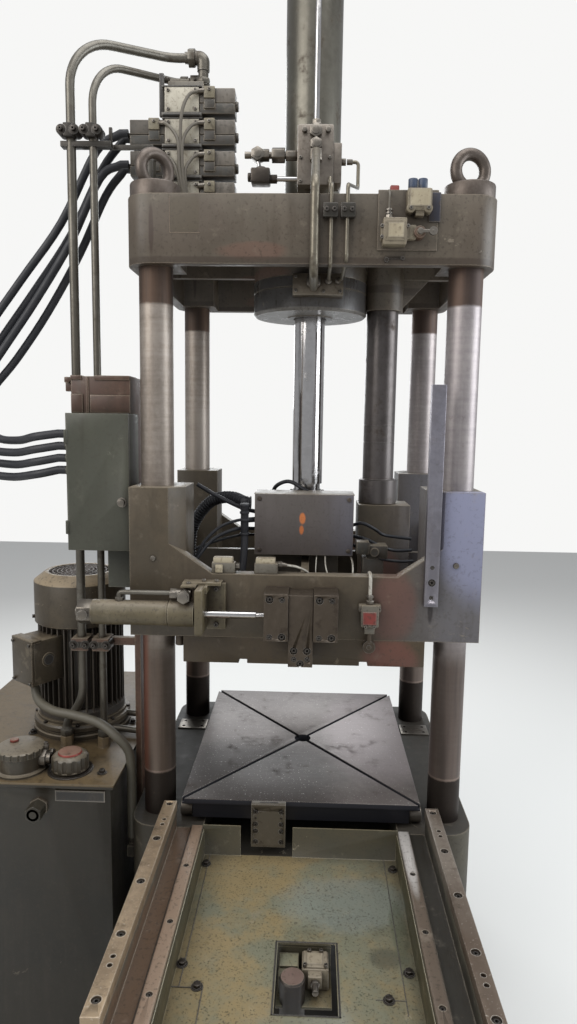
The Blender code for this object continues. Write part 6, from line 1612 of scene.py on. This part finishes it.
def makeOilPipes():
    for node, setup in oilPipes.items():
        standIn(pipe(bentLine(setup["route"], setup["bend"], 14), setup["radius"], fine=8), "pipeSteel", node)
    rail = [
        block((-0.6143, -0.226, 2.26), (-0.49, -0.201, 2.273), 0.001),
        block((-0.5, -0.206, 2.26), (-0.492, -0.199, 2.312), 0.001),
        block((-0.495, -0.204, 2.26), (-0.3915, -0.198, 2.272), 0.001),
        block((-0.4045, -0.204, 2.1103), (-0.3915, -0.1713, 2.27), 0.001),
    ]
    standIn(rail, "clampSteel", "pipe_rail")
    makeClamps("pipe_rail_clamps", 2.2745, 2.3155, "pipe_rail")
    ends = [
        bar((-0.292, -0.0395, 2.48), ("z", 2.53), 0.0135, width=0.002),
        hexNut((-0.292, -0.0395, 2.482), ("z", 2.496), 0.034),
        pipe(
            bentLine([(-0.314, -0.0395, 2.5483), (-0.292, -0.0395, 2.5483), (-0.292, -0.0395, 2.515)], 0.016),
            0.0165,
        ),
        bar((-0.34, -0.0395, 2.5483), ("x", -0.3), 0.0142), hexNut((-0.331, -0.0395, 2.5483), ("x", -0.313), 0.042),
        bar((-0.313, -0.0395, 2.5483), ("x", -0.309), 0.0175, width=0.001),
        hexNut((-0.36, 0.005, 2.508), ("x", -0.34), 0.028), hexNut((-0.338, 0.005, 2.508), ("x", -0.3315), 0.022),
        bar((-0.341, 0.005, 2.508), ("x", -0.331), 0.01),
        block((-0.3322, -0.012, 2.481), (-0.292, 0.022, 2.52), 0.002),
        bar((-0.32, -0.014, 2.506), (-0.303, -0.03, 2.506), 0.0035),
    ]
    for x, z in ((-0.6387, 0.752), (-0.537, 0.752)):
        ends += [
            hexNut((x, -0.2155, z), ("z", z + 0.016), 0.03),
            bar((x, -0.2155, z + 0.015), ("z", z + 0.024), 0.0135, 0.0115),
        ]
    show(ends, "oil_pipe_fittings", "pipeSteel", "valve_manifold")


def makeFrontPipes():
    feed = pipe(
        bentLine(
            [
                (0.009, -0.1726, 2.26), (0.009, -0.2026, 2.26), (0.009, -0.3795, 2.134), (0.009, -0.3795, 1.936),
                (0.009, -0.2025, 1.936),
            ],
            0.034, 12,
        ),
        0.01, fine=8,
    )
    standIn(feed, "feedSteel", "feed_pipe")
    near = [
        (0.046, -0.1926, 1.953), (0.046, -0.22, 1.953), (0.046, -0.3765, 1.953), (0.046, -0.3765, 2.128),
        (0.046, -0.17, 2.155), (0.046, -0.15, 2.215),
    ]
    far = [
        (0.07, -0.1926, 1.953), (0.078, -0.23, 1.953), (0.082, -0.3765, 1.965), (0.082, -0.3765, 2.126),
        (0.118, -0.113, 2.2), (0.118, -0.113, 2.264), (0.1, -0.113, 2.264),
    ]
    standIn([pipe(bentLine(route, 0.014, 8), 0.0045) for route in (near, far)], "feedSteel", "pilot_pipes")
    clamps = [block((x - 0.0165, -0.3875, 2.0545), (x + 0.0165, -0.366, 2.0855), 0.003) for x in (0.044, 0.083)]
    show(clamps, "pilot_pipe_clamps", "clampSteel", "pilot_pipes")
    places = [(x + side * 0.0085, -0.3875, 2.07) for x in (0.044, 0.083) for side in (-1, 1)]
    show(screwsAt(0.01, places, toFront), "pilot_pipe_clamp_screws", "darkSteel", "pilot_pipes")


def makeBracket():
    standIn(dressed("pipe_bracket", 0.0015), "rustPaint", "pipe_bracket")
    straps = [
        block((-0.613, -0.244, 1.692), (-0.516, -0.187, 1.706), 0.002),
        block((-0.578, -0.302, 1.696), (-0.55, -0.23, 1.707), 0.002),
        block((-0.52, -0.302, 1.696), (-0.432, -0.23, 1.707), 0.002),
        block((-0.577, -0.302, 1.617), (-0.548, -0.2985, 1.662), 0.001),
        block((-0.54, -0.301, 1.617), (-0.533, -0.2985, 1.704), 0.001),
        block((-0.53, -0.302, 1.617), (-0.432, -0.2985, 1.66), 0.001),
        block((-0.61, -0.244, 1.67), (-0.59, -0.229, 1.693), 0.002),
        *hexesAt(0.014, [(-0.602, -0.244, 1.6985), (-0.527, -0.244, 1.6985)], toFront),
    ]
    show(straps, "pipe_bracket_straps", "rustPaint", "pipe_bracket")
    makeClamps("pipe_low_clamps", 0.995, 1.025, "pipe_bracket")


def makeCabinet():
    standIn(dressed("cabinet", 0.0025), "cabinetPaint", "cabinet")
    rings = [hexNut((-0.5845, -0.2792, z), ("x", -0.578), 0.03) for z in (1.5647, 1.5347, 1.5047, 1.4747)]
    show(rings, "cabinet_gland_nuts", "plainSteel", "cabinet")
    show(
        block((-0.515, -0.226, 1.165), (-0.447, -0.217, 1.2805), 0.001), "cabinet_foot_plate", "cabinetPaint",
        "cabinet",
    )
    standIn(dressed("cabinet_door", 0.0015), "cabinetPaint", "cabinet_door")
    lock = [
        bar((-0.448, -0.329, 1.401), ("y", -0.3315), 0.012, width=0.0008),
        bar((-0.448, -0.331, 1.401), ("y", -0.342), 0.0088, width=0.0012),
    ]
    show(lock, "cabinet_door_lock", "plainSteel", "cabinet_door")


makeOilPipes()
makeFrontPipes()
makeBracket()
makeCabinet()
print("pipes and cabinet made")

# Power pack

powerPack = {
    "x": -0.645, "y": -0.06, "fins": 38, "finLow": 0.79, "finHigh": 1.034, "coreRadius": 0.101, "finRadius": 0.1185,
    "finThick": 0.0042, "turn": -36,
}


def spun(piece, degrees):
    centre = Matrix.Translation((powerPack["x"], powerPack["y"], 0))
    piece.matrix_world = centre @ Matrix.Rotation(math.radians(degrees), 4, "Z") @ centre.inverted()
    return settle(piece)


def spunCopies(piece, count):  # the piece repeated evenly round the motor
    copies = [spun(copied(piece, Matrix.Identity(4)), 360 * index / count) for index in range(count)]
    bpy.data.objects.remove(piece, do_unlink=True)
    return copies


def makeMotor():
    size = powerPack
    x, y = size["x"], size["y"]
    base = (x, y, 0)
    ring = lathe(
        [
            (0, 0.7203), (0.1355, 0.7203), (0.136, 0.7215), (0.136, 0.732), (0.133, 0.7345), (0.125, 0.735),
            (0.125, 0.743), (0.133, 0.744), (0.135, 0.746), (0.135, 0.755), (0.131, 0.76), (0.125, 0.761),
            (0.125, 0.77), (0, 0.77),
        ],
        base, sides=96,
    )
    standIn(ring, "motorPaint", "pump_flange")
    places = ringOf(x, y, 0.1285, 0.76, evenAngles(8, 0.2))
    show(hexesAt(0.01, places, upwards), "pump_flange_bolts", "darkSteel", "pump_flange")
    core = [
        lathe(
            [
                (0, 0.7703), (0.119, 0.7703), (0.119, 0.79), (0.112, 0.7985), (0.101, 0.8), (0.101, 1.03),
                (0.119, 1.031), (0.1225, 1.036), (0.1225, 1.0503), (0, 1.0503),
            ],
            base, sides=96,
        )
    ]
    fin = block(
        (x + size["coreRadius"] - 0.002, y - size["finThick"] / 2, size["finLow"]),
        (x + size["finRadius"], y + size["finThick"] / 2, size["finHigh"]), 0.0012, 1,
    )
    core += spunCopies(fin, size["fins"])
    standIn(core, "finPaint", "motor")
    case = [
        block((x - 0.046, y - 0.183, 0.8905), (x + 0.046, y - 0.094, 1.012), 0.003),
        block((x - 0.0475, y - 0.1912, 0.889), (x + 0.0475, y - 0.1825, 1.0135), 0.003),
        block((x - 0.049, y - 0.19, 1.008), (x + 0.049, y - 0.16, 1.015), 0.002),
        bar((x + 0.04, y - 0.14, 0.955), ("x", x + 0.0485), 0.0185, width=0.001),
    ]
    show([spun(piece, size["turn"]) for piece in case], "motor_terminal_box", "motorPaint", "motor")
    plug = [spun(bar((x + 0.047, y - 0.14, 0.955), ("x", x + 0.0492), 0.0145), size["turn"])]
    plug += [
        spun(piece, size["turn"])
        for piece in screwsAt(
            0.008, [(x + dx, y - 0.1912, z) for dx in (-0.038, 0.038) for z in (0.898, 1.004)], toFront,
        )
    ]
    show(plug, "motor_terminal_plug", "blackPlate", "motor")
    x, y, z = cords["motor_conduit"][0]
    gland = [hexNut((x, y, z), ("z", 0.88), 0.03), bar((x, y, 0.881), ("z", 0.872), 0.0135, 0.0115)]
    show(gland, "motor_gland", "plainSteel", "motor")


def makeFanCover():
    x, y = powerPack["x"], powerPack["y"]
    base = (x, y, 0)
    shell = lathe(
        [
            (0.123, 1.0353), (0.125, 1.0353), (0.126, 1.0365), (0.126, 1.15), (0.125, 1.1515), (0.0955, 1.1745),
            (0.0945, 1.1753), (0.0875, 1.1753), (0.086, 1.174), (0.086, 1.1725), (0.093, 1.172), (0.1215, 1.1515),
            (0.123, 1.148), (0.123, 1.0353),
        ],
        base, sides=96,
    )
    standIn(shell, "motorPaint", "fan_cover")
    grill = []
    for radius in (0.014, 0.026, 0.038, 0.05, 0.062, 0.074, 0.0855):
        grill.append(
            lathe(
                [
                    (radius - 0.0012, 1.1715), (radius + 0.0012, 1.1715), (radius + 0.0012, 1.1738),
                    (radius - 0.0012, 1.1738), (radius - 0.0012, 1.1715),
                ],
                base, sides=48,
            )
        )
    spoke = block((x + 0.012, y - 0.001, 1.1705), (x + 0.0865, y + 0.001, 1.173), 0.0003, 1)
    grill += spunCopies(spoke, 24)
    grill.append(bar((x, y, 1.17), ("z", 1.1745), 0.0145, width=0.001))
    show(grill, "fan_cover_grille", "grilleSteel", "fan_cover")
    for px, py, pz in ringOf(x, y, 0.1262, 1.048, (-2.75, -1.2, 0.4, 1.95)):
        show(screwsAt(0.01, [(px, py, pz)], (px - x, py - y, 0)), "fan_cover_screw", "darkSteel", "fan_cover")


def makeTank():
    standIn(dressed("oil_tank", 0.002), "tankPaint", "oil_tank")
    bolts = [
        (-0.76, -0.149), (-0.89, -0.19), (-0.4997, -0.363), (-0.498, -0.06), (-0.498, 0.29), (-0.956, 0.29),
        (-0.956, -0.363), (-0.956, -0.04), (-0.73, 0.32),
    ]
    washers = [
        lathe([(0.004, 0.7195), (0.0125, 0.7195), (0.0125, 0.7215), (0.004, 0.722)], (x, y, 0), sides=32)
        for x, y in bolts
    ]
    show(
        [*screwsAt(0.014, [(x, y, 0.7215) for x, y in bolts], upwards), *washers], "oil_tank_bolts", "darkSteel",
        "oil_tank",
    )
    rim = block((-0.601, -0.4158, 0.6715), (-0.4775, -0.413, 0.6995), 0.0005, 1)
    show(rim, "oil_tank_plate_rim", "plainSteel", "oil_tank")
    show(
        block((-0.599, -0.4165, 0.6735), (-0.4795, -0.415, 0.6975), 0.0003, 1), "oil_tank_plate", "blackPlate",
        "oil_tank",
    )
    union = [
        hexNut((-0.64, -0.413, 0.658), ("y", -0.424), 0.042), hexNut((-0.64, -0.4255, 0.658), ("y", -0.44), 0.036),
        bar((-0.64, -0.412, 0.658), ("y", -0.448), 0.0155),
        lathe(
            [(0.009, 0), (0.0165, 0), (0.0165, 0.008), (0.015, 0.012), (0.009, 0.012), (0.009, 0)],
            (-0.64, -0.448, 0.658), toFront, 40,
        ),
    ]
    show(union, "oil_tank_union", "portSteel", "oil_tank")
    x, y = -0.584, -0.35
    seat = lathe(
        [(0.047, 0.7195), (0.056, 0.7195), (0.056, 0.7225), (0.0545, 0.7235), (0.047, 0.7235), (0.047, 0.7195)],
        (x, y, 0), sides=72,
    )
    show(seat, "filler_seat", "darkSteel", "oil_tank")
    cap = lathe(
        [
            (0, 0.744), (0.0295, 0.744), (0.0295, 0.7242), (0.044, 0.7242), (0.0458, 0.7262), (0.0458, 0.756),
            (0.044, 0.759), (0.036, 0.764), (0.034, 0.7655), (0, 0.7655),
        ],
        (x, y, 0), sides=96,
    )
    flutes = uprights(x, y, 0.0492, (0.729, 0.77), 0.0075, 20, evenAngles(12))
    cut(cap, joined(flutes))
    standIn(softened(cap, 0.0008, 1), "capPaint", "filler_cap")
    show(
        bar((x, y, 0.764), ("z", 0.7703), 0.03, 0.028, sides=64, width=0.0008), "filler_cap_disc", "redPlastic",
        "filler_cap",
    )
    x, y = -0.71, -0.35
    housing = lathe(
        [
            (0, 0.7203), (0.064, 0.7203), (0.064, 0.7255), (0.057, 0.7265), (0.0545, 0.728), (0.0545, 0.764),
            (0.059, 0.765), (0.059, 0.778), (0.056, 0.781), (0.05, 0.7823), (0, 0.7823),
        ],
        (x, y, 0), sides=72,
    )
    notches = uprights(x, y, 0.0605, (0.762, 0.79), 0.004, 16, evenAngles(20))
    cut(housing, joined(notches))
    standIn(housing, "capPaint", "return_filter")
    show(
        bar((-0.7337, -0.3318, 0.782), ("z", 0.7885), 0.0105, width=0.001), "return_filter_button", "redPlastic",
        "return_filter",
    )
    port = [
        hexNut((-0.66, y, 0.75), ("x", -0.643), 0.038), bar((-0.668, y, 0.75), ("x", -0.633), 0.0145),
        hexNut((-0.6425, y + 0.018, 0.75), ("x", -0.6325), 0.028),
        hexNut((-0.65, y + 0.012, 0.766), ("z", 0.78), 0.014),
        bar((-0.65, y + 0.012, 0.778), ("z", 0.786), 0.005, width=0.0008),
    ]
    show(port, "return_filter_port", "plainSteel", "return_filter")
    runs = [
        pipe(
            bentLine(
                [(-0.56, -0.13, 0.738), (-0.47, -0.15, 0.738), (-0.4408, -0.16, 0.738), (-0.4408, -0.16, 0.56)],
                0.022,
            ),
            0.009, fine=6,
        ),
        pipe(
            bentLine(
                [(-0.545, -0.06, 0.752), (-0.47, -0.07, 0.752), (-0.4408, -0.075, 0.752), (-0.4408, -0.075, 0.56)],
                0.022,
            ),
            0.009, fine=6,
        ),
    ]
    show(runs, "pump_pipes", "pipeSteel", "pump_flange")


makeMotor()
makeFanCover()
makeTank()
print("power pack made")

# Table, rails, tray and bed


def makeTable():
    standIn(dressed("table_plate", 0.0012), "tableSteel", "table_plate")
    link = dressed("table_link", 0.0012)
    heads = recessed(
        link, 0.01, [(x, -0.3926, z) for x in (-0.11, -0.047) for z in (0.647, 0.6141, 0.5956, 0.5677)], toFront,
        0.4,
    )
    standIn(link, "linkSteel", "table_link")
    pins = [bar((x, -0.39, z), ("y", -0.3932), 0.0032, width=0.0004) for x, z in ((-0.11, 0.63), (-0.047, 0.631))]
    pins.append(block((-0.101, -0.385, 0.664), (-0.054, -0.379, 0.6662), 0.0003, 1))
    show([*heads, *pins], "table_link_screws", "darkSteel", "table_link")


trackScrews = ((-0.2535, (-0.5563, -0.7365, -0.9183)), (0.2535, (-0.5605, -0.7407, -0.9229)))


def makeRails():
    tracks = dressed("rail_beams", 0.0015)
    caps = recessed(tracks, 0.01, [(x, y, 0.609) for x, row in trackScrews for y in row], upwards)
    standIn(tracks, "railPaint", "rail_beams")
    show(caps, "rail_track_screws", "darkSteel", "rail_beams")
    screwRows = {
        "left": (-0.3215, (-0.997, -0.847, -0.697, -0.5465, -0.4)),
        "right": (0.3215, (-0.4054, -0.5599, -0.7067, -0.8604, -1.005)),
    }
    pinRows = {"left": (-0.9231, -0.9023, -0.4903, -0.4697), "right": (-0.4827, -0.5027, -0.9134, -0.9351)}
    for side, (x, row) in screwRows.items():
        node = f"guide_strip_{side}"
        strip = dressed(node, 0.001)
        holes = [bar((x + 0.001, y, 0.656), ("z", 0.67), 0.005, sides=20) for y in pinRows[side]]
        cut(strip, joined(holes))
        heads = recessed(strip, 0.014, [(x, y, 0.6658) for y in row], upwards)
        heads += [bar((x + 0.001, y, 0.655), ("z", 0.66), 0.0049, sides=20) for y in pinRows[side]]
        standIn(strip, side + "Strip", node)
        show(heads, node + "_screws", "darkSteel", node)


# two corners and the top of each
traySeams = [
    (-0.2225, -0.814, -0.221, -0.398, 0.534), (0.206, -0.86, 0.2075, -0.398, 0.534),
    (0.15, -0.827, 0.207, -0.8255, 0.534), (-0.2395, -0.815, -0.176, -0.8135, 0.5345),
    (-0.177, -0.8965, -0.1755, -0.814, 0.5345), (-0.044, -0.687, 0.084, -0.684, 0.534),
    (-0.044, -0.87, -0.0405, -0.684, 0.534), (0.0805, -0.87, 0.084, -0.684, 0.534),
    (-0.044, -0.87, 0.084, -0.867, 0.534),
]


def makeTray():
    standIn(dressed("front_tray", 0.0008, 1), "trayPaint", "front_tray")
    bolts = [
        (-0.1873, -0.8121), (0.221, -0.7596), (0.1748, -0.8269), (-0.231, -0.7568), (-0.227, -0.437),
        (-0.227, -0.99), (0.225, -0.437), (0.225, -0.99),
    ]
    bolts = [(max(-0.226, min(0.226, x)), y) for x, y in bolts]
    washers = [
        lathe([(0.004, 0.5325), (0.0115, 0.5325), (0.0115, 0.5345), (0.004, 0.535)], (x, y, 0), sides=32)
        for x, y in bolts
    ]
    show(
        [*hexesAt(0.014, [(x, y, 0.5345) for x, y in bolts], upwards), *washers], "front_tray_bolts", "darkSteel",
        "front_tray",
    )
    seams = [block((x0, y0, 0.5325), (x1, y1, top), 0.0003, 1) for x0, y0, x1, y1, top in traySeams]
    show(seams, "front_tray_seams", "clampSteel", "front_tray")


def makeTrayStop():
    holder = [
        block((-0.039, -0.784, 0.4687), (0.071, -0.687, 0.4747), 0.001),
        block((-0.039, -0.6868, 0.469), (0.071, -0.6812, 0.529), 0.0008),
        block((-0.039, -0.687, 0.5237), (0.071, -0.667, 0.5297), 0.0008),
        block((-0.036, -0.755, 0.473), (0.005, -0.69, 0.5135), 0.002),
        block((-0.034, -0.735, 0.513), (0.003, -0.702, 0.52), 0.001),
    ]
    standIn(holder, "trayPaint", "tray_stop")
    post = lathe(
        [(0, 0.43), (0.0245, 0.43), (0.025, 0.431), (0.025, 0.5215), (0.0225, 0.525), (0, 0.525)],
        (-0.007, -0.767, 0), sides=72,
    )
    show(post, "tray_stop_post", "stopPaint", "tray_stop")
    switch = [
        block((0.011, -0.7435, 0.474), (0.065, -0.6915, 0.52), 0.003),
        block((0.0235, -0.761, 0.493), (0.051, -0.742, 0.518), 0.002),
        block((0.014, -0.74, 0.5195), (0.062, -0.695, 0.5235), 0.002),
    ]
    show(switch, "tray_switch", "switchPaint", "tray_stop")
    show(
        block((0.021, -0.733, 0.523), (0.053, -0.702, 0.5245), 0.0005, 1), "tray_switch_cover", "creamPaint",
        "tray_stop",
    )
    metal = [
        bar((0.038, -0.76, 0.506), ("y", -0.787), 0.0062, width=0.001),
        bar((0.038, -0.76, 0.506), ("y", -0.768), 0.0088, width=0.001),
        *screwsAt(
            0.008,
            [(0.026, -0.698, 0.5235), (0.05, -0.698, 0.5235), (0.017, -0.737, 0.5235), (0.059, -0.737, 0.5235)],
            upwards,
        ),
    ]
    show(metal, "tray_switch_plunger", "plainSteel", "tray_stop")


def makeBed():
    standIn(dressed("bed", 0.005, 3), "bedPaint", "bed")
    plates = []
    for side in (-1, 1):
        near, far = sorted((side * 0.318, side * 0.408))
        plate = block((near, 0.165, 0.6015), (far, 0.235, 0.6065), 0.001)
        cut(
            plate,
            joined(
                [
                    bar((side * x, y, 0.6), ("z", 0.61), 0.0055, sides=20)
                    for x in (0.334, 0.392)
                    for y in (0.181, 0.219)
                ]
            ),
        )
        plates.append(plate)
    show(plates, "bed_drilled_plates", "plainSteel", "bed")
    pin = bar((-0.304, -0.34, 1.052), ("z", 1.0875), 0.012, width=0.001)
    show(pin, "slide_stop_pin", "blockSteel", "slide_frame")
    standIn(dressed("carrier_plate", 0.0015), "carrierPaint", "carrier_plate")


makeTable()
makeRails()
makeTray()
makeTrayStop()
makeBed()
print("table, rails, tray and bed made")

# Nodes shown as rounded copies of themselves

plainNodes = {
    "table_cylinder": ("drumPaint", 0.002), "front_wheelset": ("plainSteel", 0.001),
    "rear_wheelset": ("plainSteel", 0.001), "motor_rotor": ("darkSteel", 0.0),
}
for node, (look, width) in plainNodes.items():
    standIn(dressed(node, width, 2 if width > 0.0015 else 1), look, node)
print("plain nodes made")

# Floor

floorSetup = {"colour": (0.72, 0.72, 0.7), "reach": 14.0}


def addFloor():
    deselectAll()
    bpy.ops.mesh.primitive_plane_add(size=floorSetup["reach"], location=(0, 0, -0.0005))
    floor = bpy.context.object
    floor.name = "studio_floor"
    look = Look("studioFloor")
    look.finish(floorSetup["colour"], 0.75 + look.noise(2, 2) * 0.05)
    floor.data.materials.append(look.material)


addFloor()
for source in [*screws.values(), *hexes.values()]:
    bpy.data.objects.remove(source, do_unlink=True)
print("all pieces made")
